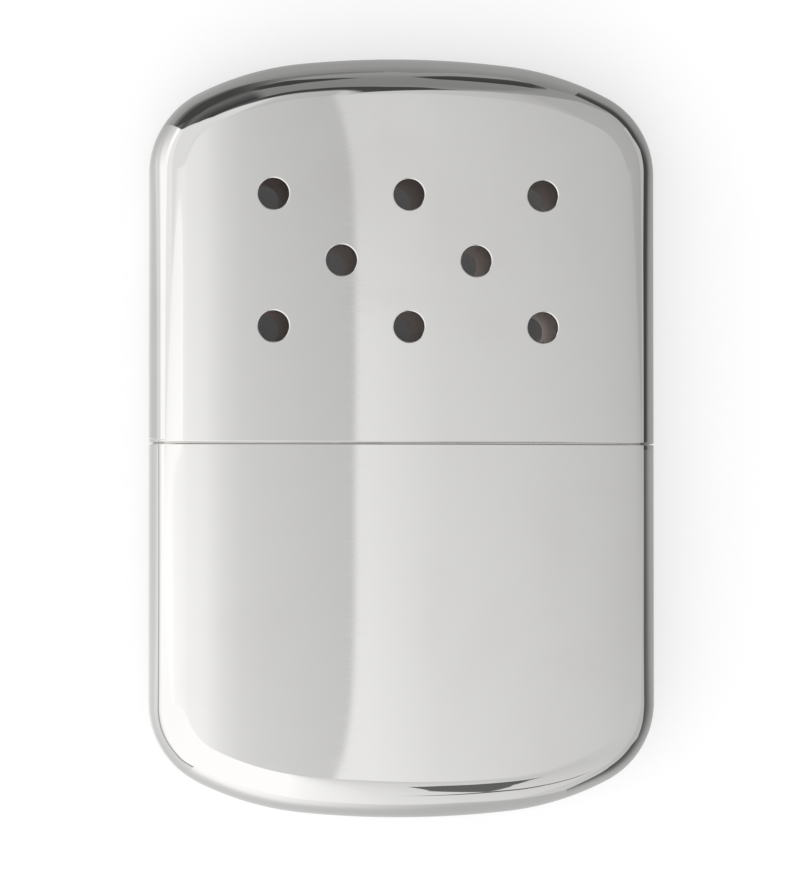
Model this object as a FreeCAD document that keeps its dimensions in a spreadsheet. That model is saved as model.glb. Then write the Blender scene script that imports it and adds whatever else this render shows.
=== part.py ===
import FreeCAD, Part
import Sketcher
import math
import os

# Catalytic hand warmer, in millimetres.
# X runs across the case, Y up it from the tank to the lid, and Z from its back to its front.
# The case lies on its bowed back, with the origin under its middle.
#
# Every case piece is drawn about the case's middle plane, and its Placement lifts it by half the
# case's thickness. The neck and burner pieces are drawn from their own lower edge, and their
# Placement puts them at their height on the case.

SIZES = (
    ("case_width", 67.0, "across the case, from side to side"),
    ("case_height", 100.0, "from the tank's domed end to the lid's"),
    ("case_thickness", 15.0, "from the back's crown to the front's"),
    ("bow_radius", 310.0, "curve of the front and back faces across the case"),
    ("crown_radius", 132.0, "outline: flat curve at the middle of each end"),
    ("crown_half_width", 13.6, "outline: half the length of that curve across the case"),
    ("shoulder_radius", 39.0, "outline: curve from the crown towards the side"),
    ("corner_radius", 11.6, "outline: curve into the straight side"),
    ("rim_radius", 5.0, "round between a face and the case's edge"),
    ("wall", 0.5, "sheet of the lid and tank shells"),
    ("tank_height", 49.2, "from the tank's domed end up to the seam"),
    ("seam_gap", 0.15, "open line between the closed lid and the tank"),
    ("lip_roll", 0.25, "round on the outer edge of both shells at the seam"),
    ("vent_diameter", 4.0, "vent hole"),
    ("vent_pitch", 17.8, "vents: spacing along a row"),
    ("vent_row_pitch", 8.67, "vents: spacing of the rows"),
    ("vent_first_row", 15.25, "vents: lowest row above the seam"),
    ("vent_roll", 0.2, "round on the outer edge of a vent hole"),
    ("fit_clearance", 0.12, "between the collar and the two shells"),
    ("collar_wall", 0.5, "sheet of the collar"),
    ("collar_rise", 6.0, "collar above the seam, where the lid slides on"),
    ("collar_depth", 9.0, "collar below the seam, inside the tank shell"),
    ("collar_lead", 0.2, "round on the collar's upper outer edge"),
    ("seat_clearance", 0.03, "between pieces that are soldered or pressed together"),
    ("plate_wall", 0.5, "sheet of the shoulder plate"),
    ("plate_flange", 2.5, "height of the shoulder plate with its turned-down flange"),
    ("plate_bend", 0.5, "round on the shoulder plate's outer edge"),
    ("shoulder_drop", 2.0, "shoulder plate's upper face below the seam"),
    ("neck_width", 33.0, "filler neck across the case"),
    ("neck_wall", 0.5, "sheet of the filler neck"),
    ("neck_rise", 4.0, "filler neck above the shoulder plate"),
    ("neck_foot_gap", 0.5, "between the neck's foot and the shoulder plate's flange"),
    ("screen_wall", 0.3, "sheet of the neck screen"),
    ("screen_drop", 0.8, "neck screen below the mouth of the neck"),
    ("burner_air_gap", 1.65, "between the burner and the collar, front and back"),
    ("burner_wall", 0.4, "sheet of the burner's pieces"),
    ("neck_clearance", 0.12, "between the burner's skirt and the neck that it pulls off"),
    ("skirt_gap", 0.3, "between the skirt and the shoulder plate"),
    ("lip_gap", 0.1, "between the neck's mouth and the vapour plate"),
    ("skirt_lap", 1.2, "skirt above the vapour plate, round the foot of the cage"),
    ("cage_height", 10.2, "burner cage between the vapour plate and the cap"),
    ("cap_lip", 1.5, "cap's lip down round the top of the cage"),
    ("cap_roll", 0.3, "round on the cap's upper edge"),
    ("grille_lap", 1.3, "grille behind the edge of each channel"),
    ("slot_width", 1.4, "grille slot"),
    ("slot_pitch", 2.4, "grille slots: spacing"),
    ("slot_margin", 0.5, "between a slot's ends and the skirt and the cap's lip"),
    ("hole_diameter", 1.4, "hole in the vapour plate and the neck screen"),
    ("hole_pitch", 2.4, "those holes: spacing both ways"),
    ("hole_margin", 0.6, "between those holes and the plate's long edge"),
    ("gauze_wall", 0.2, "gauze behind each grille"),
    ("soft_clearance", 0.3, "round the wadding, the wick and the catalyst mat"),
)

# How far a cutting tool runs past what it cuts.
OVERRUN = 5.0

FORWARD = FreeCAD.Vector(0, 0, 1)
START, END, CENTRE = range(1, 4)
ORIGIN = (-1, 1)
ACROSS_AXIS, UP_AXIS = -1, -2

# Derived places and sizes, written as expressions over the sheet.
# Insets are measured inwards from the outer skin of the case.
NO_INSET = "0"
SHELL_INSET = "sizes.wall"
COLLAR_OUTER_INSET = "(sizes.wall + sizes.fit_clearance)"
COLLAR_INNER_INSET = f"({COLLAR_OUTER_INSET} + sizes.collar_wall)"
PAN_OUTER_INSET = f"({COLLAR_INNER_INSET} + sizes.seat_clearance)"
PAN_INNER_INSET = f"({PAN_OUTER_INSET} + sizes.plate_wall)"
LOW_WADDING_INSET = "(sizes.wall + sizes.soft_clearance)"
HIGH_WADDING_INSET = f"({PAN_INNER_INSET} + sizes.soft_clearance)"

# Heights up the case, from its middle.
CASE_TOP = "(sizes.case_height / 2)"
SEAM = "(sizes.tank_height - sizes.case_height / 2)"
LID_EDGE = f"({SEAM} + sizes.seam_gap / 2)"
TANK_EDGE = f"({SEAM} - sizes.seam_gap / 2)"
COLLAR_TOP = f"({SEAM} + sizes.collar_rise)"
COLLAR_BOTTOM = f"({SEAM} - sizes.collar_depth)"
PLATE_TOP = f"({SEAM} - sizes.shoulder_drop)"
PLATE_UNDERSIDE = f"({PLATE_TOP} - sizes.plate_wall)"
NECK_FOOT = f"({PLATE_UNDERSIDE} - sizes.neck_wall - sizes.seat_clearance)"
NECK_TOP = f"({PLATE_TOP} + sizes.neck_rise)"
SCREEN_BASE = f"({NECK_TOP} - sizes.screen_drop - sizes.screen_wall)"
SKIRT_BASE = f"({PLATE_TOP} + sizes.skirt_gap)"
VAPOUR_BASE = f"({NECK_TOP} + sizes.lip_gap)"
CAGE_BASE = f"({VAPOUR_BASE} + sizes.burner_wall + sizes.seat_clearance)"
CAGE_TOP = f"({CAGE_BASE} + sizes.cage_height)"
SKIRT_TOP = f"({CAGE_BASE} + sizes.skirt_lap)"
CAP_BASE = f"({CAGE_TOP} + sizes.seat_clearance - sizes.cap_lip)"
WADDING_BOTTOM = f"({LOW_WADDING_INSET} - sizes.case_height / 2)"
WADDING_TOP = f"({NECK_FOOT} - sizes.soft_clearance)"
WADDING_LAYER = f"(({WADDING_TOP} - {WADDING_BOTTOM}) / 3)"
WICK_BASE = f"({WADDING_TOP} + sizes.soft_clearance)"

# Round-ended sections of the neck and burner: width across the case, depth from back to front.
SKIRT_DEPTH = f"(sizes.case_thickness - 2 * {COLLAR_INNER_INSET} - 2 * sizes.burner_air_gap)"
SKIRT_BORE_DEPTH = f"({SKIRT_DEPTH} - 2 * sizes.burner_wall)"
SKIRT_BORE_WIDTH = "(sizes.neck_width + 2 * sizes.neck_clearance)"
SKIRT_WIDTH = f"({SKIRT_BORE_WIDTH} + 2 * sizes.burner_wall)"
NECK_DEPTH = f"({SKIRT_BORE_DEPTH} - 2 * sizes.neck_clearance)"
NECK_BORE_WIDTH = "(sizes.neck_width - 2 * sizes.neck_wall)"
NECK_BORE_DEPTH = f"({NECK_DEPTH} - 2 * sizes.neck_wall)"
FOOT_DEPTH = f"(sizes.case_thickness - 2 * {PAN_INNER_INSET} - 2 * sizes.neck_foot_gap)"
FOOT_WIDTH = f"(sizes.neck_width + {FOOT_DEPTH} - {NECK_DEPTH})"
SCREEN_WIDTH = f"({NECK_BORE_WIDTH} - 2 * sizes.seat_clearance)"
SCREEN_DEPTH = f"({NECK_BORE_DEPTH} - 2 * sizes.seat_clearance)"
CAGE_WIDTH = f"({SKIRT_BORE_WIDTH} - 2 * sizes.seat_clearance)"
CAGE_DEPTH = f"({SKIRT_BORE_DEPTH} - 2 * sizes.seat_clearance)"

# The cage's front and back are flat between its round ends, and the grilles lie there.
GRILLE_WIDTH = f"({CAGE_WIDTH} - {CAGE_DEPTH} - 4 * sizes.seat_clearance)"
GRILLE_HEIGHT = "(sizes.cage_height - 2 * sizes.seat_clearance)"
WINDOW_WIDTH = f"({GRILLE_WIDTH} - 2 * sizes.grille_lap)"
GRILLE_FACE = f"({CAGE_DEPTH} / 2 - sizes.burner_wall - sizes.seat_clearance)"
GRILLE_MIDDLE = f"({GRILLE_FACE} - sizes.burner_wall / 2)"
GAUZE_FACE = f"({GRILLE_FACE} - sizes.burner_wall - sizes.seat_clearance)"
GAUZE_MIDDLE = f"({GAUZE_FACE} - sizes.gauze_wall / 2)"
MAT_DEPTH = f"(2 * ({GAUZE_FACE} - sizes.gauze_wall - sizes.soft_clearance))"
MAT_WIDTH = f"({CAGE_WIDTH} - 2 * sizes.burner_wall - 2 * sizes.soft_clearance)"
SLOT_LENGTH = f"({CAP_BASE} - {SKIRT_TOP} - 2 * sizes.slot_margin)"
SLOT_MIDDLE = f"(({CAP_BASE} + {SKIRT_TOP}) / 2)"
CAGE_MIDDLE = f"(({CAGE_BASE} + {CAGE_TOP}) / 2)"

# The tightest round that still leaves a flat between the front and back rounds at the side.
SIDE_SAG = "(sizes.bow_radius - sqrt(sizes.bow_radius ^ 2 - (sizes.case_width / 2) ^ 2))"
RIM_LIMIT = f"(sizes.case_thickness / 2 - {SIDE_SAG} - 0.2)"
RIM_RADIUS = f"min(sizes.rim_radius; {RIM_LIMIT})"

document = FreeCAD.newDocument("hand_warmer")


def make_sheet():
    """The driving dimensions, one per row, each with its note and its alias."""
    sheet = document.addObject("Spreadsheet::Sheet", "sizes")
    for row, (alias, value, note) in enumerate(SIZES, start=1):
        sheet.set(f"A{row}", note)
        sheet.set(f"B{row}", str(value))
        sheet.setAlias(f"B{row}", alias)
    document.recompute()
    return sheet


sizes = make_sheet()


def number(expression):
    """The present value of an expression over the sheet."""
    return float(sizes.evalExpression(expression))


def bind(item, settings):
    for name, expression in settings.items():
        item.setExpression(name, expression)


# ---- sketches and features ----

def new_body(label):
    body = document.addObject("PartDesign::Body", label)
    body.Label = label
    return body


def new_sketch(body, label, role, place=None):
    """A sketch on one of the body's origin planes. place binds its offset, such as Base.z."""
    sketch = body.newObject("Sketcher::SketchObject", label)
    plane = [item for item in body.Origin.OriginFeatures if item.Role == role][0]
    sketch.AttachmentSupport = [(plane, "")]
    sketch.MapMode = "FlatFace"
    bind(sketch, {f"AttachmentOffset.{name}": text for name, text in (place or {}).items()})
    return sketch


def relate(sketch, kind, *where):
    return sketch.addConstraint(Sketcher.Constraint(kind, *where))


def measure(sketch, name, expression, kind, *where):
    """A named dimension of a sketch, bound to the sheet."""
    index = relate(sketch, kind, *where, number(expression))
    sketch.renameConstraint(index, name)
    sketch.setExpression(f"Constraints.{name}", expression)


def pad(body, label, sketch, length, upwards=False, middle=False):
    feature = body.newObject("PartDesign::Pad", label)
    feature.Profile = sketch
    feature.SideType = "Symmetric" if middle else "One side"
    feature.Reversed = upwards
    feature.setExpression("Length", length)
    return feature


def pocket_through(body, label, sketch):
    feature = body.newObject("PartDesign::Pocket", label)
    feature.Profile = sketch
    feature.Type = "ThroughAll"
    feature.SideType = "Symmetric"
    return feature


def pocket_upwards(body, label, sketch, depth):
    """A cut from a level sketch towards +Y, which is against that sketch's normal."""
    feature = body.newObject("PartDesign::Pocket", label)
    feature.Profile = sketch
    feature.setExpression("Length", depth)
    return feature


def row_of(body, label, sketch, axis, count, pitch):
    pattern = body.newObject("PartDesign::LinearPattern", label)
    pattern.Direction = (sketch, [axis])
    bind(pattern, {"Occurrences": count, "Length": f"({count} - 1) * {pitch}"})
    return pattern


def edge_names(shape, edges):
    names = []
    for index, candidate in enumerate(shape.Edges, start=1):
        if any(candidate.isSame(edge) for edge in edges):
            names.append(f"Edge{index}")
    return names


def round_edges(body, label, base, edges, radius):
    """A fillet on edges that were found on the base feature after a recompute."""
    if not edges:
        raise RuntimeError(f"{label}: no edges found to round")
    feature = body.newObject("PartDesign::Fillet", label)
    feature.Base = (base, edge_names(base.Shape, edges))
    feature.setExpression("Radius", radius)
    document.recompute()
    return feature


def is_cylinder(face, radius):
    surface = face.Surface
    return isinstance(surface, Part.Cylinder) and math.isclose(surface.Radius, radius, abs_tol=1e-4)


def level_rim(shape, height):
    """Outer edges of the flat face that looks along Y at a height."""
    for face in shape.Faces:
        box = face.BoundBox
        level = box.YLength < 1e-6 and math.isclose(box.YMin, height, abs_tol=1e-4)
        if isinstance(face.Surface, Part.Plane) and level:
            return face.OuterWire.Edges
    return []


# ---- shapes of sketches ----

def draw_arc(sketch, centre_x, centre_y, radius, start, end):
    circle = Part.Circle(FreeCAD.Vector(centre_x, centre_y, 0), FORWARD, radius)
    return sketch.addGeometry(Part.ArcOfCircle(circle, start, end), False)


def draw_line(sketch, from_x, from_y, to_x, to_y):
    ends = FreeCAD.Vector(from_x, from_y, 0), FreeCAD.Vector(to_x, to_y, 0)
    return sketch.addGeometry(Part.LineSegment(*ends), False)


def draw_case_outline(sketch, inset):
    """Front outline of the case: two straight sides and, at each end, corner, shoulder and crown arcs."""
    step = number(inset)
    half_width = number("sizes.case_width / 2") - step
    crown = number("sizes.crown_radius")
    crown_angle = math.asin(number("sizes.crown_half_width") / crown)
    crown_y = number("sizes.case_height / 2") - crown
    shoulder = number("sizes.shoulder_radius")
    shoulder_x = (crown - shoulder) * math.sin(crown_angle)
    shoulder_y = crown_y + (crown - shoulder) * math.cos(crown_angle)
    corner = number("sizes.corner_radius")
    corner_x = half_width + step - corner
    across = corner_x - shoulder_x
    corner_y = shoulder_y + math.sqrt((shoulder - corner) ** 2 - across ** 2)
    shoulder_angle = math.asin(across / (shoulder - corner))
    quarter = math.pi / 2
    arcs = (
        (corner_x, corner_y, corner - step, 0, quarter - shoulder_angle),
        (shoulder_x, shoulder_y, shoulder - step, quarter - shoulder_angle, quarter - crown_angle),
        (0, crown_y, crown - step, quarter - crown_angle, quarter + crown_angle),
        (-shoulder_x, shoulder_y, shoulder - step, quarter + crown_angle, quarter + shoulder_angle),
        (-corner_x, corner_y, corner - step, quarter + shoulder_angle, 2 * quarter),
    )
    for turn, side in ((0, 1), (math.pi, -1)):
        draw_line(sketch, side * half_width, -side * corner_y, side * half_width, side * corner_y)
        for centre_x, centre_y, radius, start, end in arcs:
            draw_arc(sketch, side * centre_x, side * centre_y, radius, start + turn, end + turn)
    count = 2 * (1 + len(arcs))
    right_side, corner_arc, shoulder_arc, crown_arc, left_side, lower_crown = 0, 1, 2, 3, 6, 9
    for index in range(count):
        relate(sketch, "Tangent", index, END, (index + 1) % count, START)
    alike = ((corner_arc, (5, 7, 11)), (shoulder_arc, (4, 8, 10)), (crown_arc, (lower_crown,)))
    for first, others in alike:
        for other in others:
            relate(sketch, "Equal", first, other)
    relate(sketch, "Vertical", right_side)
    relate(sketch, "Vertical", left_side)
    relate(sketch, "Symmetric", crown_arc, START, crown_arc, END, UP_AXIS)
    relate(sketch, "Symmetric", lower_crown, START, lower_crown, END, UP_AXIS)
    relate(sketch, "Symmetric", crown_arc, START, lower_crown, END, ACROSS_AXIS)
    measure(sketch, "corner", f"sizes.corner_radius - {inset}", "Radius", corner_arc)
    measure(sketch, "shoulder", f"sizes.shoulder_radius - {inset}", "Radius", shoulder_arc)
    measure(sketch, "crown", f"sizes.crown_radius - {inset}", "Radius", crown_arc)
    crown_end = f"sizes.crown_half_width * (sizes.crown_radius - {inset}) / sizes.crown_radius"
    measure(sketch, "crown_end", crown_end, "DistanceX", *ORIGIN, crown_arc, START)
    crown_centre = "sizes.crown_radius - sizes.case_height / 2"
    measure(sketch, "crown_centre", crown_centre, "DistanceY", crown_arc, CENTRE, *ORIGIN)
    measure(sketch, "side", f"sizes.case_width / 2 - {inset}", "DistanceX", *ORIGIN, right_side, START)
    measure(sketch, "width", f"sizes.case_width - 2 * {inset}", "DistanceX", left_side, START, right_side, START)


def draw_rectangle(sketch, width, height, prefix=""):
    """A rectangle centred on the sketch's origin."""
    first = sketch.GeometryCount
    half_x = number(width) / 2
    half_y = number(height) / 2
    corners = ((-half_x, -half_y), (half_x, -half_y), (half_x, half_y), (-half_x, half_y))
    for index, corner in enumerate(corners):
        draw_line(sketch, *corner, *corners[(index + 1) % 4])
    for index in range(4):
        relate(sketch, "Coincident", first + index, END, first + (index + 1) % 4, START)
        relate(sketch, "Vertical" if index % 2 else "Horizontal", first + index)
    relate(sketch, "Symmetric", first, START, first + 2, START, *ORIGIN)
    measure(sketch, f"{prefix}width", width, "DistanceX", first, START, first, END)
    measure(sketch, f"{prefix}height", height, "DistanceY", first + 1, START, first + 1, END)


def draw_bow_section(sketch, inset):
    """Level section between the bowed faces, inside a frame that is cut away round it."""
    half_width = f"(sizes.case_width / 2 + {OVERRUN})"
    reach = number(half_width)
    radius = number(f"sizes.bow_radius - {inset}")
    centre = number("sizes.bow_radius - sizes.case_thickness / 2")
    spread = math.asin(reach / radius)
    edge = radius * math.cos(spread) - centre
    quarter = math.pi / 2
    front = draw_arc(sketch, 0, -centre, radius, quarter - spread, quarter + spread)
    left = draw_line(sketch, -reach, edge, -reach, -edge)
    back = draw_arc(sketch, 0, centre, radius, 3 * quarter - spread, 3 * quarter + spread)
    right = draw_line(sketch, reach, -edge, reach, edge)
    loop = (front, left, back, right)
    for index, item in enumerate(loop):
        relate(sketch, "Coincident", item, END, loop[(index + 1) % 4], START)
    relate(sketch, "Vertical", left)
    relate(sketch, "Vertical", right)
    relate(sketch, "Equal", front, back)
    relate(sketch, "Symmetric", front, START, front, END, UP_AXIS)
    relate(sketch, "PointOnObject", back, CENTRE, UP_AXIS)
    measure(sketch, "bow", f"sizes.bow_radius - {inset}", "Radius", front)
    bow_centre = "sizes.bow_radius - sizes.case_thickness / 2"
    measure(sketch, "front_centre", bow_centre, "DistanceY", front, CENTRE, *ORIGIN)
    measure(sketch, "back_centre", bow_centre, "DistanceY", *ORIGIN, back, CENTRE)
    measure(sketch, "reach", half_width, "DistanceX", *ORIGIN, front, START)
    frame_width = f"(sizes.case_width + {4 * OVERRUN})"
    frame_depth = f"(sizes.case_thickness + {4 * OVERRUN})"
    draw_rectangle(sketch, frame_width, frame_depth, "frame_")


def draw_slot(sketch, width, depth):
    """A round-ended slot centred on the sketch's origin."""
    radius = number(depth) / 2
    middle = number(width) / 2 - radius
    quarter = math.pi / 2
    right = draw_arc(sketch, middle, 0, radius, -quarter, quarter)
    upper = draw_line(sketch, middle, radius, -middle, radius)
    left = draw_arc(sketch, -middle, 0, radius, quarter, 3 * quarter)
    lower = draw_line(sketch, -middle, -radius, middle, -radius)
    loop = (right, upper, left, lower)
    for index, item in enumerate(loop):
        relate(sketch, "Tangent", item, END, loop[(index + 1) % 4], START)
    relate(sketch, "Horizontal", upper)
    relate(sketch, "PointOnObject", right, CENTRE, ACROSS_AXIS)
    relate(sketch, "Symmetric", right, CENTRE, left, CENTRE, *ORIGIN)
    measure(sketch, "end_radius", f"({depth}) / 2", "Radius", right)
    measure(sketch, "between_ends", f"({width}) - ({depth})", "DistanceX", left, CENTRE, right, CENTRE)


def draw_circle(sketch, diameter):
    index = sketch.addGeometry(Part.Circle(FreeCAD.Vector(0, 0, 0), FORWARD, number(diameter) / 2), False)
    relate(sketch, "Coincident", index, CENTRE, *ORIGIN)
    measure(sketch, "diameter", diameter, "Diameter", index)


# ---- building blocks ----

def case_blank(label, inset):
    """The case's outer form as a solid, drawn in from its skin by an inset."""
    body = new_body(label)
    outline = new_sketch(body, f"{label}_outline", "XY_Plane")
    draw_case_outline(outline, inset)
    pad(body, f"{label}_block", outline, f"sizes.case_thickness + {2 * OVERRUN}", middle=True)
    section = new_sketch(body, f"{label}_section", "XZ_Plane")
    draw_bow_section(section, inset)
    bowed = pocket_through(body, f"{label}_bow", section)
    document.recompute()
    bow_radius = number(f"sizes.bow_radius - {inset}")
    edges = [edge for face in bowed.Shape.Faces if is_cylinder(face, bow_radius) for edge in face.Edges]
    round_edges(body, f"{label}_rim", bowed, edges, f"{RIM_RADIUS} - {inset}")
    return body


def slab(label, bottom, top):
    """A block right across the case, from one height to another."""
    box = document.addObject("Part::Box", label)
    bind(box, {
        "Length": f"sizes.case_width + {2 * OVERRUN}",
        "Width": f"({top}) - ({bottom})",
        "Height": f"sizes.case_thickness + {2 * OVERRUN}",
        "Placement.Base.x": f"-sizes.case_width / 2 - {OVERRUN}",
        "Placement.Base.y": bottom,
        "Placement.Base.z": f"-sizes.case_thickness / 2 - {OVERRUN}",
    })
    return box


def boolean(kind, label, base, tool):
    item = document.addObject(f"Part::{kind}", label)
    item.Base = base
    item.Tool = tool
    return item


def band(label, blank, bottom, top):
    """The stretch of a blank between two heights."""
    return boolean("Common", label, blank, slab(f"{label}_slab", bottom, top))


def body_on(label, base):
    """A body that goes on from a boolean's result."""
    document.recompute()
    body = new_body(label)
    body.BaseFeature = base
    document.recompute()
    return body


def level_sketch(body, label, start, width, depth):
    """A round-ended section across the case, at a height in the body's own frame."""
    sketch = new_sketch(body, label, "XZ_Plane", {"Base.z": f"-({start})"})
    draw_slot(sketch, width, depth)
    return sketch


def slot_pad(body, label, start, height, width, depth):
    sketch = level_sketch(body, f"{label}_section", start, width, depth)
    return pad(body, label, sketch, height, upwards=True)


def slot_pocket(body, label, start, height, width, depth):
    sketch = level_sketch(body, f"{label}_section", start, width, depth)
    return pocket_upwards(body, label, sketch, height)


def slot_block(label, height, width, depth):
    body = new_body(label)
    slot_pad(body, f"{label}_block", "0", height, width, depth)
    return body


def perforated_plate(label, thickness, width, depth):
    """A round-ended plate with rows of small holes, as many as its flat middle holds."""
    body = slot_block(label, thickness, width, depth)
    count = f"(floor(({width} - {depth}) / sizes.hole_pitch) + 1)"
    room = f"({depth} - sizes.hole_diameter - 2 * sizes.hole_margin)"
    rows = f"(floor({room} / sizes.hole_pitch) + 1)"
    corner = {
        "Base.x": f"-({count} - 1) * sizes.hole_pitch / 2",
        "Base.y": f"-({rows} - 1) * sizes.hole_pitch / 2",
    }
    sketch = new_sketch(body, f"{label}_hole_circle", "XZ_Plane", corner)
    draw_circle(sketch, "sizes.hole_diameter")
    hole = pocket_through(body, f"{label}_hole", sketch)
    holes = body.newObject("PartDesign::MultiTransform", f"{label}_holes")
    holes.Originals = [hole]
    holes.Transformations = [
        row_of(body, f"{label}_hole_row", sketch, "H_Axis", count, "sizes.hole_pitch"),
        row_of(body, f"{label}_hole_rows", sketch, "V_Axis", rows, "sizes.hole_pitch"),
    ]
    body.Tip = holes
    return body


def place(item, height="0", forward="0"):
    """Puts a piece at its height on the case and at its distance in front of the middle plane."""
    bind(item, {
        "Placement.Base.y": height,
        "Placement.Base.z": f"sizes.case_thickness / 2 + {forward}",
    })
    return item


# ---- the tank ----

def make_tank_shell(outer, inner):
    cup = boolean("Cut", "tank_cup", band("tank_form", outer, f"-{CASE_TOP} - {OVERRUN}", TANK_EDGE), inner)
    body = body_on("tank_shell", cup)
    rim = level_rim(body.Tip.Shape, number(TANK_EDGE))
    round_edges(body, "tank_lip", body.Tip, rim, "sizes.lip_roll")
    return place(body)


def make_lid_collar(outer, inner):
    ring = boolean("Cut", "collar_ring", band("collar_form", outer, COLLAR_BOTTOM, COLLAR_TOP), inner)
    body = body_on("lid_collar", ring)
    rim = level_rim(body.Tip.Shape, number(COLLAR_TOP))
    round_edges(body, "collar_lead_in", body.Tip, rim, "sizes.collar_lead")
    return place(body)


def make_shoulder_plate(outer, inner):
    """A shallow pan, open downwards, with a round-ended hole for the filler neck."""
    flange_edge = f"({PLATE_TOP} - sizes.plate_flange)"
    form = band("plate_form", outer, flange_edge, PLATE_TOP)
    hollow = band("plate_hollow", inner, f"{flange_edge} - {OVERRUN}", PLATE_UNDERSIDE)
    body = body_on("shoulder_plate", boolean("Cut", "plate_pan", form, hollow))
    rim = level_rim(body.Tip.Shape, number(PLATE_TOP))
    round_edges(body, "plate_bend_round", body.Tip, rim, "sizes.plate_bend")
    hole = level_sketch(
        body, "neck_hole_section", f"{PLATE_UNDERSIDE} - sizes.plate_wall",
        "sizes.neck_width + 2 * sizes.seat_clearance", f"{NECK_DEPTH} + 2 * sizes.seat_clearance",
    )
    pocket_upwards(body, "neck_hole", hole, "3 * sizes.plate_wall")
    return place(body)


def make_filler_neck():
    """A round-ended tube with a foot that lies against the underside of the shoulder plate."""
    body = new_body("filler_neck")
    rise = f"({NECK_TOP} - {NECK_FOOT})"
    slot_pad(body, "neck_foot", "0", "sizes.neck_wall", FOOT_WIDTH, FOOT_DEPTH)
    slot_pad(body, "neck_tube", "0", rise, "sizes.neck_width", NECK_DEPTH)
    slot_pocket(body, "neck_bore", f"-{OVERRUN}", f"{rise} + {2 * OVERRUN}", NECK_BORE_WIDTH, NECK_BORE_DEPTH)
    return place(body, NECK_FOOT)


def make_neck_screen():
    return place(perforated_plate("neck_screen", "sizes.screen_wall", SCREEN_WIDTH, SCREEN_DEPTH), SCREEN_BASE)


def make_neck_wick():
    height = f"{SCREEN_BASE} - sizes.soft_clearance - {WICK_BASE}"
    width = f"({NECK_BORE_WIDTH} - 2 * sizes.soft_clearance)"
    depth = f"({NECK_BORE_DEPTH} - 2 * sizes.soft_clearance)"
    return place(slot_block("neck_wick", height, width, depth), WICK_BASE)


def make_wadding():
    """Three layers of absorbent wadding. The upper one is slimmer, inside the plate's flange."""
    low_blank = case_blank("low_wadding_blank", LOW_WADDING_INSET)
    high_blank = case_blank("high_wadding_blank", HIGH_WADDING_INSET)
    layers = (("wadding_lower", low_blank), ("wadding_middle", low_blank), ("wadding_upper", high_blank))
    pieces = []
    for index, (label, blank) in enumerate(layers):
        bottom = f"({WADDING_BOTTOM} + {index} * {WADDING_LAYER})"
        top = f"({bottom} + {WADDING_LAYER} - sizes.soft_clearance)"
        piece = band(label, blank, bottom, top)
        pieces.append(place(piece))
    return pieces


# ---- the lid ----

def make_lid_shell(outer, inner):
    cup = boolean("Cut", "lid_cup", band("lid_form", outer, LID_EDGE, f"{CASE_TOP} + {OVERRUN}"), inner)
    body = body_on("lid_shell", cup)
    sketch = new_sketch(body, "vent_circles", "XY_Plane", {"Base.y": f"{SEAM} + sizes.vent_first_row"})
    row_columns = ((-1, 0, 1), (-0.5, 0.5), (-1, 0, 1))
    for row, columns in enumerate(row_columns):
        for column in columns:
            draw_vent(sketch, row, column)
    vents = pocket_through(body, "vents", sketch)
    document.recompute()
    outer_bow = number("sizes.bow_radius")
    bore = number("sizes.vent_diameter / 2")
    skins = [face for face in vents.Shape.Faces if is_cylinder(face, outer_bow)]
    bores = [face for face in vents.Shape.Faces if is_cylinder(face, bore)]
    bore_edges = [edge for face in bores for edge in face.Edges]
    rims = [edge for skin in skins for edge in skin.Edges if any(edge.isSame(other) for other in bore_edges)]
    rolled = round_edges(body, "vent_rolls", vents, rims, "sizes.vent_roll")
    lip = level_rim(rolled.Shape, number(LID_EDGE))
    round_edges(body, "lid_lip", rolled, lip, "sizes.lip_roll")
    return place(body)


def draw_vent(sketch, row, column):
    """One vent hole at its row and column. The first hole drawn sets the size of the others."""
    centre = FreeCAD.Vector(number("sizes.vent_pitch") * column, number("sizes.vent_row_pitch") * row, 0)
    index = sketch.addGeometry(Part.Circle(centre, FORWARD, number("sizes.vent_diameter") / 2), False)
    if index == 0:
        measure(sketch, "vent_diameter", "sizes.vent_diameter", "Diameter", index)
    else:
        relate(sketch, "Equal", 0, index)
    if column == 0:
        relate(sketch, "PointOnObject", index, CENTRE, UP_AXIS)
    else:
        ends = (*ORIGIN, index, CENTRE) if column > 0 else (index, CENTRE, *ORIGIN)
        measure(sketch, f"across_{index}", f"sizes.vent_pitch * {abs(column)}", "DistanceX", *ends)
    if row == 0:
        relate(sketch, "PointOnObject", index, CENTRE, ACROSS_AXIS)
    else:
        measure(sketch, f"up_{index}", f"sizes.vent_row_pitch * {row}", "DistanceY", *ORIGIN, index, CENTRE)


# ---- the burner ----

def make_burner_skirt():
    body = new_body("burner_skirt")
    height = f"({SKIRT_TOP} - {SKIRT_BASE})"
    slot_pad(body, "skirt_tube", "0", height, SKIRT_WIDTH, SKIRT_DEPTH)
    slot_pocket(body, "skirt_bore", f"-{OVERRUN}", f"{height} + {2 * OVERRUN}", SKIRT_BORE_WIDTH, SKIRT_BORE_DEPTH)
    return place(body, SKIRT_BASE)


def make_vapour_plate():
    return place(perforated_plate("vapour_plate", "sizes.burner_wall", CAGE_WIDTH, CAGE_DEPTH), VAPOUR_BASE)


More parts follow.
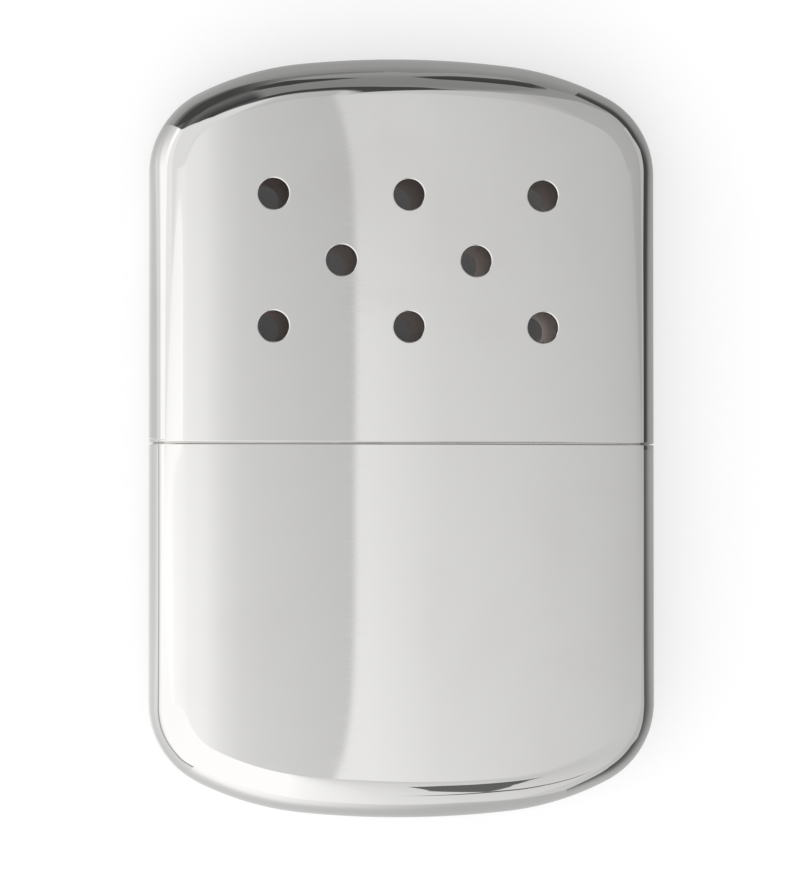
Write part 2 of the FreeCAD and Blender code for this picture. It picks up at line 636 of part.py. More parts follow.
def make_channel(label, half_turn):
    """A round end of the cage, open towards the cage's middle and edged by its two windows."""
    body = new_body(label)
    bore_width = f"({CAGE_WIDTH} - 2 * sizes.burner_wall)"
    bore_depth = f"({CAGE_DEPTH} - 2 * sizes.burner_wall)"
    slot_pad(body, f"{label}_tube", "0", "sizes.cage_height", CAGE_WIDTH, CAGE_DEPTH)
    slot_pocket(
        body, f"{label}_bore", f"-{OVERRUN}", f"sizes.cage_height + {2 * OVERRUN}", bore_width, bore_depth,
    )
    opening = {"Base.x": f"{WINDOW_WIDTH} / 2 - {CAGE_WIDTH} / 2"}
    sketch = new_sketch(body, f"{label}_opening", "XZ_Plane", opening)
    draw_rectangle(sketch, CAGE_WIDTH, f"({CAGE_DEPTH} + {2 * OVERRUN})")
    pocket_through(body, f"{label}_cut", sketch)
    body.Placement.Rotation = FreeCAD.Rotation(FreeCAD.Vector(0, 1, 0), half_turn)
    return place(body, CAGE_BASE)


def make_grille(label, side):
    body = new_body(label)
    face = new_sketch(body, f"{label}_face", "XY_Plane")
    draw_rectangle(face, GRILLE_WIDTH, GRILLE_HEIGHT)
    pad(body, f"{label}_sheet", face, "sizes.burner_wall", middle=True)
    count = f"(floor(({WINDOW_WIDTH} - sizes.slot_width) / sizes.slot_pitch) + 1)"
    slot = new_sketch(body, f"{label}_slot_form", "XY_Plane")
    slot.AttachmentOffset = FreeCAD.Placement(FreeCAD.Vector(), FreeCAD.Rotation(FORWARD, 90))
    bind(slot, {
        "AttachmentOffset.Base.x": f"-({count} - 1) * sizes.slot_pitch / 2",
        "AttachmentOffset.Base.y": f"{SLOT_MIDDLE} - {CAGE_MIDDLE}",
    })
    draw_slot(slot, SLOT_LENGTH, "sizes.slot_width")
    cut = pocket_through(body, f"{label}_slot", slot)
    slots = row_of(body, f"{label}_slots", face, "H_Axis", count, "sizes.slot_pitch")
    slots.Originals = [cut]
    body.Tip = slots
    return place(body, CAGE_MIDDLE, f"{side} * {GRILLE_MIDDLE}")


def make_gauze(label, side):
    body = new_body(label)
    face = new_sketch(body, f"{label}_face", "XY_Plane")
    draw_rectangle(face, GRILLE_WIDTH, GRILLE_HEIGHT)
    pad(body, f"{label}_sheet", face, "sizes.gauze_wall", middle=True)
    return place(body, CAGE_MIDDLE, f"{side} * {GAUZE_MIDDLE}")


def make_catalyst_mat():
    height = "(sizes.cage_height - 2 * sizes.soft_clearance)"
    return place(slot_block("catalyst_mat", height, MAT_WIDTH, MAT_DEPTH), f"{CAGE_BASE} + sizes.soft_clearance")


def make_burner_cap():
    body = new_body("burner_cap")
    height = "(sizes.cap_lip + sizes.burner_wall)"
    block = slot_pad(body, "cap_block", "0", height, SKIRT_WIDTH, SKIRT_DEPTH)
    document.recompute()
    rounded = round_edges(body, "cap_round", block, level_rim(block.Shape, number(height)), "sizes.cap_roll")
    body.Tip = rounded
    slot_pocket(body, "cap_bore", f"-{OVERRUN}", f"sizes.cap_lip + {OVERRUN}", SKIRT_BORE_WIDTH, SKIRT_BORE_DEPTH)
    return place(body, CAP_BASE)


# ---- the whole warmer ----

def make_parts():
    outer = case_blank("outer_blank", NO_INSET)
    inner = case_blank("inner_blank", SHELL_INSET)
    collar_outer = case_blank("collar_outer_blank", COLLAR_OUTER_INSET)
    collar_inner = case_blank("collar_inner_blank", COLLAR_INNER_INSET)
    pan_outer = case_blank("pan_outer_blank", PAN_OUTER_INSET)
    pan_inner = case_blank("pan_inner_blank", PAN_INNER_INSET)
    parts = [
        make_tank_shell(outer, inner),
        make_lid_shell(outer, inner),
        make_lid_collar(collar_outer, collar_inner),
        make_shoulder_plate(pan_outer, pan_inner),
        make_filler_neck(),
        make_neck_screen(),
        make_neck_wick(),
        make_burner_skirt(),
        make_vapour_plate(),
        make_channel("right_channel", 0),
        make_channel("left_channel", 180),
        make_catalyst_mat(),
        make_burner_cap(),
    ]
    parts += make_wadding()
    for side_name, side in (("front", 1), ("back", -1)):
        parts.append(make_grille(f"{side_name}_grille", side))
        parts.append(make_gauze(f"{side_name}_gauze", side))
    return parts


def check(parts):
    for item in document.Objects:
        if {"Invalid", "Error"} & set(item.State):
            raise RuntimeError(f"{item.Label} failed: {item.State}")
    for part in parts:
        shape = part.Shape
        if shape.isNull() or not shape.isValid() or len(shape.Solids) != 1:
            raise RuntimeError(f"{part.Label} is not one valid solid")


def write(parts):
    os.makedirs("parts", exist_ok=True)
    for part in parts:
        part.Shape.exportStep(os.path.join("parts", f"{part.Label}.step"))
        box = part.Shape.BoundBox
        low = f"{box.XMin:7.2f} {box.YMin:7.2f} {box.ZMin:7.2f}"
        high = f"{box.XMax:7.2f} {box.YMax:7.2f} {box.ZMax:7.2f}"
        print(f"{part.Label:16s} {part.Shape.Volume:10.2f} mm3   {low}   {high}")


warmer_parts = make_parts()
document.recompute()
check(warmer_parts)
write(warmer_parts)
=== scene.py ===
import math

import bmesh
import bpy
from mathutils import Matrix, Vector, noise


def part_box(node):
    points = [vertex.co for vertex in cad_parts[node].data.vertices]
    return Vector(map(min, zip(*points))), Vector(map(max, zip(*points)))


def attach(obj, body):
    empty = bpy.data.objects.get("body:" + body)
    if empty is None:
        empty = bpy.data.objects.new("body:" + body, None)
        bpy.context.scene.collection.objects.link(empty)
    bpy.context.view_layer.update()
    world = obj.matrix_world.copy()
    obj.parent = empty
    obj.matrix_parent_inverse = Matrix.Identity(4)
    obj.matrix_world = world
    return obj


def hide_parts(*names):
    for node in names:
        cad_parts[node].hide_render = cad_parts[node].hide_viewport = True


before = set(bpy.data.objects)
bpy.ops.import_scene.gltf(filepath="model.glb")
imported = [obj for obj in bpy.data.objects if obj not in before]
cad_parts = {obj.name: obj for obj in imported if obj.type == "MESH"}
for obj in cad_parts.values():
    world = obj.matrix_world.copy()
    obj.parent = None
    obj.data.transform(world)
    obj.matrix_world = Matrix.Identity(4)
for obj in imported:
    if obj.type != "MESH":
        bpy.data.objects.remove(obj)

bl_info = {
    "name": "Catalytic Hand Warmer",
    "version": (1, 0, 0),
    "blender": (4, 5, 0),
    "location": "View3D > Sidebar > Hand Warmer",
    "description": "Builds a pocket catalytic hand warmer, its burner and its fuel tank, "
                   "with a small studio",
    "category": "Object",
}

MM = 0.001

# Distances at which points count as the same, in metres.
TINY, CLOSE = 1e-7, 1e-6

LID_LOW, LID_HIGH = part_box("lid_shell")
TANK_LOW, TANK_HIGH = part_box("tank_shell")
MIDDLE = (LID_LOW.z + LID_HIGH.z) / 2

NICKEL_NODES = ("lid_collar", "shoulder_plate", "filler_neck", "neck_screen")
STEEL_NODES = ("burner_skirt", "vapour_plate", "left_channel", "right_channel",
               "front_grille", "back_grille", "burner_cap")
GAUZE_NODES = ("front_gauze", "back_gauze")
WADDING_NODES = ("wadding_lower", "wadding_middle", "wadding_upper")

# What a face of a shell is: polished skin, plain inside, the cut edge between them, or the roll
# on that edge.
OUTER, INNER, CUT, LIP = range(4)

# Faces along each curve of the case's outline, from a face round to the side, and on a roll.
CROWN_STEPS, SHOULDER_STEPS, CORNER_STEPS, RIM_STEPS = 8, 14, 30, 14
LIP_STEPS, VENT_ROLL_STEPS = 5, 4

# Half the square of faces round a vent, and the faces along that half.
VENT_PATCH, VENT_PATCH_STEPS = 3.2 * MM, 4

# Millimetres from the middle at which the lid's faces are cut besides, and the tank's, so that
# none is long.
LID_CUTS_ACROSS = (4.45, 13.35, 23.2, 25.4, 27.2)
LID_CUTS_ALONG = (1.2, 3.7, 6.2, 8.7, 37.5, 40.0, 42.5)
TANK_CUTS_ACROSS = [2.4 * k for k in range(-11, 12)]
TANK_CUTS_ALONG = [-1.6 - 5 * k for k in range(9)]

# Sides of a wire, and the share of a plain sheet's thickness that the woven wires fill.
WIRE_SIDES, WEAVE_FILL = 5, 0.98

# How often a soft piece is smoothed, how far its tufts' noise is lowered so that most of them
# stay inside the solid, and how near it comes to the sides of the solid's box.
SOFT_PASSES, TUFT_SINK, SOFT_MARGIN = 6, 0.45, 0.1 * MM

# How open the space above the floor is where the floor's lift starts and where it is full, and
# the least share of the lift.
FLOOR_OPENS, FLOOR_LEAST = (0.2, 0.45), 0.07

# In degrees: where the surround's lean and tilt start, across and up from straight above, over
# which rise it turns white towards the horizon, and how softly a streak in it fades.
LEAN_START, TILT_START, HORIZON, STREAK_FADE = 0.6, 1.4, (6.6, 5.6), 1.5

# A card's foot: its gap to the case, its height, how much lower each layer behind stands, and
# how far the apron rises from it.
CARD_FOOT_GAP, CARD_FOOT = Vector((0.4, 0.4)) * MM, 0.4 * MM
CARD_LAYER_DROP, CARD_APRON_RISE = 0.1 * MM, 1.6 * MM

# Degrees between the points of a card's top edge, millimetres up to which its brightness is
# given, and how far aside the cards past the lid's end stand, as a share of their gap to it.
CARD_STEP, CARD_HIGHEST, END_GAP_ASIDE = 3, 40, 0.6

# The places of a colour Mix node's sockets.
MIX_FIRST, MIX_SECOND, MIX_RESULT = 6, 7, 2


def length(name, description, default):
    """A size in metres, shown in the scene's own units."""
    return bpy.props.FloatProperty(
        name=name, description=description, default=default, min=0, unit="LENGTH", precision=5)


def shift(name, description, default):
    """A distance in metres to either side of a middle."""
    return bpy.props.FloatProperty(
        name=name, description=description, default=default, unit="LENGTH", precision=5)


def colour(name, description, default):
    """A linear colour."""
    return bpy.props.FloatVectorProperty(
        name=name, description=description, default=default, size=3, min=0, max=1,
        subtype="COLOR")


def factor(name, description, default):
    """A share from 0 to 1."""
    return bpy.props.FloatProperty(
        name=name, description=description, default=default, min=0, max=1, subtype="FACTOR")


def level(name, description, default):
    """A brightness, where 1 is white, or another number from 0 up."""
    return bpy.props.FloatProperty(name=name, description=description, default=default, min=0)


class CaseSizes(bpy.types.PropertyGroup):
    """Sizes of the lid and tank shells."""
    width: length("Width", "Across the case, from side to side", LID_HIGH.x - LID_LOW.x)
    height: length("Height", "From the tank's domed end to the lid's", LID_HIGH.y - TANK_LOW.y)
    thickness: length("Thickness", "From the back's crown to the front's", LID_HIGH.z - LID_LOW.z)
    bow: length("Bow Radius", "Curve of the front and back faces across the case", 310 * MM)
    crown: length("Crown Radius", "Flat curve at the middle of each end", 132 * MM)
    crown_half: length(
        "Crown Half Width", "Half the length of that curve across the case", 13.6 * MM)
    shoulder: length("Shoulder Radius", "Curve from the crown towards the side", 39 * MM)
    corner: length("Corner Radius", "Curve into the straight side", 11.6 * MM)
    rim: length("Rim Radius", "Round between a face and the case's edge", 5 * MM)
    wall: length("Wall", "Sheet of the lid and tank shells", 0.5 * MM)
    lip: length("Lip Roll", "Round on the outer edge of both shells at the seam", 0.16 * MM)
    vent: length("Vent Diameter", "Width of a vent hole", 4 * MM)
    vent_roll: length("Vent Roll", "Round on the outer edge of a vent hole", 0.2 * MM)
    vent_pitch: length("Vent Pitch", "Spacing of the vents along a row", 17.8 * MM)
    vent_row: length("Vent Row Pitch", "Spacing of the rows", 8.67 * MM)
    vent_first: length("First Vent Row", "Height of the lowest row above the middle", 14.45 * MM)


class CaseFinish(bpy.types.PropertyGroup):
    """Finish of the shells."""
    chrome: colour("Chrome", "Polished plating", (0.66, 0.655, 0.645))
    haze: colour("Haze", "Plating where handling has dulled it", (0.63, 0.622, 0.61))
    gloss: factor("Roughness", "Roughness of the clean plating", 0.02)
    hairline: factor("Hairlines", "Added roughness along the polishing hairlines", 0.04)
    waviness: length("Waviness", "Height of the slow waves in the sheet", 0.02 * MM)
    inside: colour("Inside", "Unpolished inner face of the shells", (0.82, 0.725, 0.685))


class FittingFinish(bpy.types.PropertyGroup):
    """Finish of the fittings under the lid."""
    nickel: colour(
        "Nickel", "Satin plate of the collar, shoulder plate and neck", (0.62, 0.6, 0.56))
    steel: colour("Steel", "Clean burner steel", (0.56, 0.54, 0.51))
    straw: colour(
        "Straw Tint", "Burner steel where the heat has tinted it first", (0.55, 0.42, 0.26))
    blue: colour("Blue Tint", "Burner steel where the heat is greatest", (0.26, 0.28, 0.36))
    wire: colour("Wire", "Woven gauze", (0.42, 0.41, 0.39))
    glass: colour("Catalyst", "Coated glass fibre", (0.23, 0.225, 0.22))
    felt: colour("Felt", "Pressed felt of the wick", (0.74, 0.7, 0.6))
    cotton: colour("Cotton", "Loose wadding", (0.78, 0.76, 0.71))
    wire_pitch: length("Wire Pitch", "Spacing of the gauze's wires", 0.52 * MM)
    wire_width: length("Wire Diameter", "Thickness of a gauze wire", 0.095 * MM)


class StudioSettings(bpy.types.PropertyGroup):
    """The floor, the surround, the cards and the camera."""
    floor: colour("Floor", "Pale floor", (0.6, 0.6, 0.6))
    floor_lift: level("Floor Lift", "Brightness that the floor has beyond its own lighting", 0.5)
    floor_reach: length(
        "Floor Reach", "How close a piece that covers the floor takes that away", 45 * MM)
    floor_radius: length("Floor Radius", "Size of the round floor", 3.0)
    white: level("White Panel", "Brightness of the white panel far out on the left", 1.5)
    step_at: level("Panel Edge", "Degrees to the right at which the right panel starts", 3.2)
    step_soft: level("Panel Edge Width", "Degrees over which it starts", 0.6)
    fall: level("Vertical Fall", "Share of brightness lost for each degree upwards", 0.02)
    grey_card: level("Grey Card", "Brightness of the grey cards low around the case", 0.43)
    dark_card: level("Dark Card", "Brightness of their dark upper edge", 0.08)
    lower_card: level("Lower Card", "Brightness of the card below the tank", 0.72)
    card_gap: length("Card Gap", "From the case to the cards beside it", 17 * MM)
    end_gap: length(
        "End Card Gap", "From the lid to the cards past its end, clear of its travel", 50 * MM)
    distance: length("Camera Distance", "From the camera to the middle of the case", 0.6)
    direction: bpy.props.FloatVectorProperty(
        name="Camera Direction", description="From the case towards the camera",
        default=(-0.122, -0.024, 0.9922), subtype="DIRECTION")
    frame_height: length(
        "Frame Height", "Height of the picture at the case's middle", 116.6 * MM)
    aim_x: shift("Aim Across", "Picture's centre from the case's middle", -0.30 * MM)
    aim_y: shift("Aim Up", "Picture's centre from the case's middle", -0.24 * MM)


# ---------------------------------------------------------------- shared mesh tools

def new_object(bm, name, materials):
    """The bmesh as an object of the scene."""
    mesh = bpy.data.meshes.new(name)
    bm.to_mesh(mesh)
    bm.free()
    for material in materials:
        mesh.materials.append(material)
    made = bpy.data.objects.new(name, mesh)
    bpy.context.scene.collection.objects.link(made)
    return made


def finish_piece(bm, name, body, materials, node):
    """The bmesh as a finished piece that rides on a body and stands for the named node."""
    piece = new_object(bm, name, materials)
    piece.data.shade_smooth()
    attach(piece, body)
    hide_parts(node)
    return piece


def all_of(bm):
    """The whole mesh, for an operator."""
    return bm.verts[:] + bm.edges[:] + bm.faces[:]


def only(geometry, kind):
    """The corners, edges or faces among what an operator gave back."""
    return [g for g in geometry if isinstance(g, kind)]


def extruded(bm, edges):
    """Extrudes a row of edges, and gives back all that it made and the far row of edges."""
    made = bmesh.ops.extrude_edge_only(bm, edges=edges)["geom"]
    far = [e for e in only(made, bmesh.types.BMEdge) if all(v in made for v in e.verts)]
    return made, far


def cut(bm, geometry, point, normal, **clear):
    """One straight cut through some of the mesh."""
    bmesh.ops.bisect_plane(
        bm, geom=geometry, dist=TINY, plane_co=point, plane_no=normal, **clear)


def part_of(faces):
    """Some faces with their edges and corners, for an operator."""
    edges = {e for f in faces for e in f.edges}
    verts = {v for f in faces for v in f.verts}
    return list(faces) + list(edges) + list(verts)


def between(a, b, t):
    """The direction a share t of the way round from a to b."""
    turn = a.angle(b)
    return (a * math.sin((1 - t) * turn) + b * math.sin(t * turn)) / math.sin(turn)


# ---------------------------------------------------------------- the shells

class Outline:
    """The case's outline, from the middle of an end round to the middle of a side."""

    def __init__(self, sizes):
        self.sizes = sizes
        self.side = sizes.width / 2
        self.crown_centre = Vector((0, sizes.height / 2 - sizes.crown, 0))
        self.crown_turn = math.asin(sizes.crown_half / sizes.crown)
        out = Vector((math.sin(self.crown_turn), math.cos(self.crown_turn), 0))
        self.shoulder_centre = self.crown_centre + (sizes.crown - sizes.shoulder) * out
        across = self.side - sizes.corner - self.shoulder_centre.x
        reach = sizes.shoulder - sizes.corner
        up = math.sqrt(reach ** 2 - across ** 2)
        self.corner_centre = self.shoulder_centre + Vector((across, up, 0))
        self.shoulder_turn = math.atan2(across, up)

    def normal(self, point):
        """Straight out of the outline at a point on it."""
        x, y = abs(point.x), abs(point.y)
        if y <= self.corner_centre.y:
            out = Vector((1, 0, 0))
        elif x >= self.corner_centre.x + self.sizes.corner * math.sin(self.shoulder_turn):
            out = Vector((x, y, 0)) - self.corner_centre
        elif x >= self.sizes.crown_half:
            out = Vector((x, y, 0)) - self.shoulder_centre
        else:
            out = Vector((x, y, 0)) - self.crown_centre
        out.normalize()
        return Vector((math.copysign(out.x, point.x), math.copysign(out.y, point.y), 0))

    def draw(self, bm):
        """The whole outline as one closed loop of edges in the middle plane."""
        last = bm.verts.new((0, self.sizes.height / 2, 0))
        arcs = (
            (self.crown_centre, self.crown_turn, CROWN_STEPS),
            (self.shoulder_centre, self.shoulder_turn - self.crown_turn, SHOULDER_STEPS),
            (self.corner_centre, math.pi / 2 - self.shoulder_turn, CORNER_STEPS),
        )
        for centre, turn, steps in arcs:
            made = bmesh.ops.spin(
                bm, geom=[last], cent=centre, axis=(0, 0, -1), angle=turn, steps=steps,
                use_merge=False, use_duplicate=False)
            last = only(made["geom_last"], bmesh.types.BMVert)[0]
        side = bmesh.ops.extrude_vert_indiv(bm, verts=[last])["verts"][0]
        side.co.y = 0
        for axis in "YX":
            bmesh.ops.mirror(
                bm, geom=all_of(bm), matrix=Matrix(), merge_dist=CLOSE, axis=axis)
        bmesh.ops.remove_doubles(bm, verts=bm.verts[:], dist=CLOSE)


def bow_depth(sizes, x):
    """How far the front face stands out of the middle plane at x."""
    return math.sqrt(sizes.bow ** 2 - x ** 2) - sizes.bow + sizes.thickness / 2


def whole_case(bm, sizes):
    """The case's outer surface, closed, with the true direction of every point kept beside it."""
    outline = Outline(sizes)
    true = bm.verts.layers.float_vector.new("true")
    station = bm.verts.layers.int.new("station")
    field = bm.faces.layers.int.new("field")
    outline.draw(bm)
    rail = []
    inner_bow = sizes.bow - sizes.rim
    for number, vert in enumerate(bm.verts):
        out = outline.normal(vert.co)
        centre = vert.co - sizes.rim * out
        centre.z = math.sqrt(inner_bow ** 2 - centre.x ** 2) - sizes.bow + sizes.thickness / 2
        top = Vector((centre.x / inner_bow, 0, math.sqrt(1 - (centre.x / inner_bow) ** 2)))
        rail.append((out, centre, top))
        vert[station] = number
        vert[true] = out
    ring = bm.edges[:]
    for step in range(RIM_STEPS + 1):
        grown, ring = extruded(bm, ring)
        for vert in only(grown, bmesh.types.BMVert):
            out, centre, top = rail[vert[station]]
            vert[true] = between(out, top, step / RIM_STEPS)
            vert.co = centre + sizes.rim * vert[true]
    face = bmesh.ops.edgeloop_fill(bm, edges=ring)["faces"][0]
    face[field] = 1
    bmesh.ops.mirror(bm, geom=all_of(bm), matrix=Matrix(), merge_dist=TINY, axis="Z")
    for vert in bm.verts:
        if vert.co.z < -TINY:
            vert[true].z = -abs(vert[true].z)
    bmesh.ops.recalc_face_normals(bm, faces=bm.faces[:])


def rule_faces(bm, across, along):
    """Cuts the front and back faces on lines across and along the case."""
    field = bm.faces.layers.int["field"]
    for lines, normal in ((across, (1, 0, 0)), (along, (0, 1, 0))):
        for place in lines:
            faces = [f for f in bm.faces if f[field]]
            cut(bm, part_of(faces), Vector(normal) * place, normal)


def vent_places(sizes):
    """Middles of the vents: two rows of three with a row of two between them."""
    low = sizes.vent_first
    return [(column * sizes.vent_pitch, low + row * sizes.vent_row)
            for row, columns in enumerate(((-1, 0, 1), (-0.5, 0.5), (-1, 0, 1)))
            for column in columns]


def cut_vents(bm, sizes):
    """A round hole in the middle of each square patch, in the front and the back."""
    field = bm.faces.layers.int["field"]
    true = bm.verts.layers.float_vector["true"]
    for x, y in vent_places(sizes):
        for side in (1, -1):
            inside = [
                f for f in bm.faces if f[field]
                and f.calc_center_median().z * side > 0
                and abs(f.calc_center_median().x - x) < VENT_PATCH
                and abs(f.calc_center_median().y - y) < VENT_PATCH]
            edges = {e for f in inside for e in f.edges}
            bound = [e for e in edges if sum(f in inside for f in e.link_faces) == 1]
            bmesh.ops.delete(bm, geom=inside, context="FACES")
            circle = bmesh.ops.create_circle(
                bm, cap_ends=False, radius=sizes.vent / 2, segments=len(bound),
                matrix=Matrix.Translation((x, y, 0)))["verts"]
            for vert in circle:
                vert.co.z = side * bow_depth(sizes, vert.co.x)
                lean = vert.co.x / sizes.bow
                vert[true] = Vector((lean, 0, side * math.sqrt(1 - lean ** 2)))
            rim = list({e for v in circle for e in v.link_edges})
            made = bmesh.ops.bridge_loops(bm, edges=bound + rim)["faces"]
            for face in made:
                face[field] = 1
                face.normal_update()
                if face.normal.z * side < 0:
                    face.normal_flip()


def give_wall(bm, sizes, rolls):
    """Makes the outer surface a sheet, and rolls the outer edges of its openings.

    Each roll is a test for its edges, its radius and its number of faces.
    """
    role = bm.faces.layers.int.new("role")
    outer = set(bm.faces)
    made = bmesh.ops.solidify(bm, geom=bm.faces[:], thickness=sizes.wall)["geom"]
    inner = set(only(made, bmesh.types.BMFace))
    for face in bm.faces:
        face[role] = OUTER if face in outer else INNER if face in inner else CUT
    for chosen, roll, steps in rolls:
        edges = [e for e in bm.edges if chosen(e)
                 and {f[role] for f in e.link_faces} == {OUTER, CUT}]
        made = bmesh.ops.bevel(
            bm, geom=edges, offset=roll, offset_type="OFFSET", segments=steps, profile=0.5,
            affect="EDGES", clamp_overlap=False, material=-1)["faces"]
        for face in made:
            face[role] = LIP


def true_normals(bm):
    """Gives each face corner the true direction of the surface that it lies on."""
    role = bm.faces.layers.int["role"]
    true = bm.verts.layers.float_vector["true"]
    bm.normal_update()
    found = []
    for face in bm.faces:
        for vert in face.verts:
            roles = {f[role] for f in vert.link_faces}
            if face[role] == OUTER or (face[role] == LIP and OUTER in roles):
                found.append(vert[true].normalized())
            elif face[role] == INNER:
                found.append(-vert[true].normalized())
            elif face[role] == LIP and CUT in roles:
                found.append([f for f in vert.link_faces if f[role] == CUT][0].normal.copy())
            elif face[role] == LIP:
                lips = [f.normal for f in vert.link_faces if f[role] == LIP]
                found.append(sum(lips, Vector()).normalized())
            else:
                found.append(face.normal.copy())
    return found


def shell_piece(bm, node, body, finish):
    """Finishes a shell: inner face on its own material, true normals, lying on its back."""
    role = bm.faces.layers.int["role"]
    for face in bm.faces:
        face.material_index = 1 if face[role] == INNER else 0
    bmesh.ops.translate(bm, verts=bm.verts[:], vec=(0, 0, MIDDLE))
    bm.verts.index_update()
    bm.faces.index_update()
    normals = true_normals(bm)
    bm.verts.layers.float_vector.remove(bm.verts.layers.float_vector["true"])
    for layers, label in ((bm.verts.layers.int, "station"), (bm.faces.layers.int, "field"),
                          (bm.faces.layers.int, "role")):
        layers.remove(layers[label])
    materials = [material_once("Polished Chrome", polished_chrome, finish),
                 material_once("Drawn Inside", drawn_inside, finish)]
    piece = finish_piece(bm, node + "_polished", body, materials, node)
    piece.data.normals_split_custom_set(normals)


# ---------------------------------------------------------------- shared shader tools

def new_tree_material(name):
    """A node material with its tree and its Principled shader."""
    material = bpy.data.materials.new(name)
    material.use_nodes = True
    tree = material.node_tree
    return material, tree, tree.nodes["Principled BSDF"]


def material_once(name, build, *values, **settings):
    """A material by its name, built the first time that a piece asks for it."""
    return bpy.data.materials.get(name) or build(name, *values, **settings)


def feed(tree, node, inputs):
    """Links a socket to each named input, or sets the input's own value."""
    for key, value in inputs.items():
        if isinstance(value, bpy.types.NodeSocket):
            tree.links.new(value, node.inputs[key])
        else:
            node.inputs[key].default_value = value


def add(tree, kind, inputs=None, **settings):
    """A node with its settings made and its inputs fed."""
    node = tree.nodes.new(kind)
    for key, value in settings.items():
        setattr(node, key, value)
    feed(tree, node, inputs or {})
    return node


def toned(tone, share=1.0):
    """A colour with its alpha, made darker or lighter by a share."""
    return (*(min(1, share * c) for c in tone), 1)


def own_place(tree):
    """The point that is shaded, in the piece's own coordinates."""
    return add(tree, "ShaderNodeTexCoord").outputs["Object"]


def axes_of(tree, place):
    """A point's X, Y and Z."""
    return add(tree, "ShaderNodeSeparateXYZ", {0: place}).outputs


def combine(tree, x, y, z):
    """A vector from three numbers."""
    return add(tree, "ShaderNodeCombineXYZ", {"X": x, "Y": y, "Z": z}).outputs[0]


def vectors(tree, operation, first, second):
    """One sum on two vectors."""
    return add(tree, "ShaderNodeVectorMath", {0: first, 1: second},
               operation=operation).outputs[0]


def shade(tree, bright, amount):
    """A brightness or a vector multiplied by a number."""
    return add(tree, "ShaderNodeVectorMath", {0: bright, "Scale": amount},
               operation="SCALE").outputs[0]


def calc(tree, operation, *values):
    """One sum on numbers or sockets."""
    return add(tree, "ShaderNodeMath", dict(enumerate(values)), operation=operation).outputs[0]


def speckle(tree, place, inputs):
    """Noise at a point."""
    return add(tree, "ShaderNodeTexNoise", {"Vector": place, **inputs}).outputs


def share_of(tree, value, low, high):
    """A straight step from 0 to 1 as a value goes from low to high."""
    return add(tree, "ShaderNodeMapRange", {"Value": value, "From Min": low, "From Max": high},
               clamp=True).outputs[0]


def rising(tree, value, low, high):
    """A soft step from 0 to 1 as a value goes from low to high, or from high to low."""
    return add(tree, "ShaderNodeMapRange", {"Value": value, "From Min": low, "From Max": high},
               clamp=True, interpolation_type="SMOOTHSTEP").outputs[0]


def range_of(tree, mask, low, high):
    """A number between low and high by a mask."""
    return add(tree, "ShaderNodeMapRange",
               {"Value": mask, "To Min": low, "To Max": high}).outputs[0]


def blend(tree, mask, first, second, kind="MIX"):
    """One colour or another by a mask."""
    return add(tree, "ShaderNodeMix", {"Factor": mask, MIX_FIRST: first, MIX_SECOND: second},
               data_type="RGBA", blend_type=kind).outputs[MIX_RESULT]


def ramp(tree, share, stops):
    """Colours along a share from 0 to 1, between the stops given."""
    node = add(tree, "ShaderNodeValToRGB", {"Fac": share})
    elements = node.color_ramp.elements
    while len(elements) < len(stops):
        elements.new(0.5)
    for element, (position, tone) in zip(elements, stops):
        element.position = position
        element.color = (*tone, 1)
    return node.outputs[0]


def bands(tree, value, low, high, stops):
    """Brightness along a value, between the stops given."""
    return ramp(tree, share_of(tree, value, low, high),
                [((at - low) / (high - low), (bright,) * 3) for at, bright in stops])


def bump(tree, height, strength, distance, under=None):
    """The normal of a raised pattern, over another pattern's normal if one is given."""
    inputs = {"Height": height, "Strength": strength, "Distance": distance}
    if under is not None:
        inputs["Normal"] = under
    return add(tree, "ShaderNodeBump", inputs).outputs[0]


def new_group(name, inputs, outputs):
    """A new shader node group with named numbers in and out, its inputs and its output node."""
    group = bpy.data.node_groups.new(name, "ShaderNodeTree")
    for label, value in inputs.items():
        socket = group.interface.new_socket(
            name=label, in_out="INPUT", socket_type="NodeSocketFloat")
        socket.default_value = value
    for label in outputs:
        group.interface.new_socket(name=label, in_out="OUTPUT", socket_type="NodeSocketFloat")
    return group, group.nodes.new("NodeGroupInput").outputs, group.nodes.new("NodeGroupOutput")


def use_group(tree, build, **values):
    """Places a shared group in a material with that material's own values."""
    name = build.__name__.replace("_", " ").title()
    node = tree.nodes.new("ShaderNodeGroup")
    node.node_tree = bpy.data.node_groups.get(name) or build(name)
    for key, value in values.items():
        node.inputs[key.replace("_", " ").title()].default_value = value
    return node.outputs


# ---------------------------------------------------------------- shared effects

def sheet_waves(name):
    """Slow waves that a drawn sheet keeps after polishing."""
    group, given, out = new_group(name, {"Scale": 30.0, "Stretch": 1.0}, ("Height",))
    size = combine(group, 1.0, given["Stretch"], 1.0)
    place = vectors(group, "MULTIPLY", own_place(group), size)
    waves = speckle(group, place, {"Scale": given["Scale"], "Detail": 1.0, "Roughness": 0.4})
    feed(group, out, {"Height": waves["Fac"]})
    return group


def hairlines(name):
    """Fine straight scratches left by polishing or brushing across the piece."""
    group, given, out = new_group(
        name, {"Across": 40.0, "Along": 4000.0, "Depth Axis": 400.0}, ("Mask", "Height"))
    size = combine(group, given["Across"], given["Along"], given["Depth Axis"])
    place = vectors(group, "MULTIPLY", own_place(group), size)
    lines = speckle(group, place, {"Scale": 1.0, "Detail": 3.0, "Roughness": 0.6})["Fac"]
    feed(group, out, {"Mask": share_of(group, lines, 0.45, 0.75), "Height": lines})
    return group


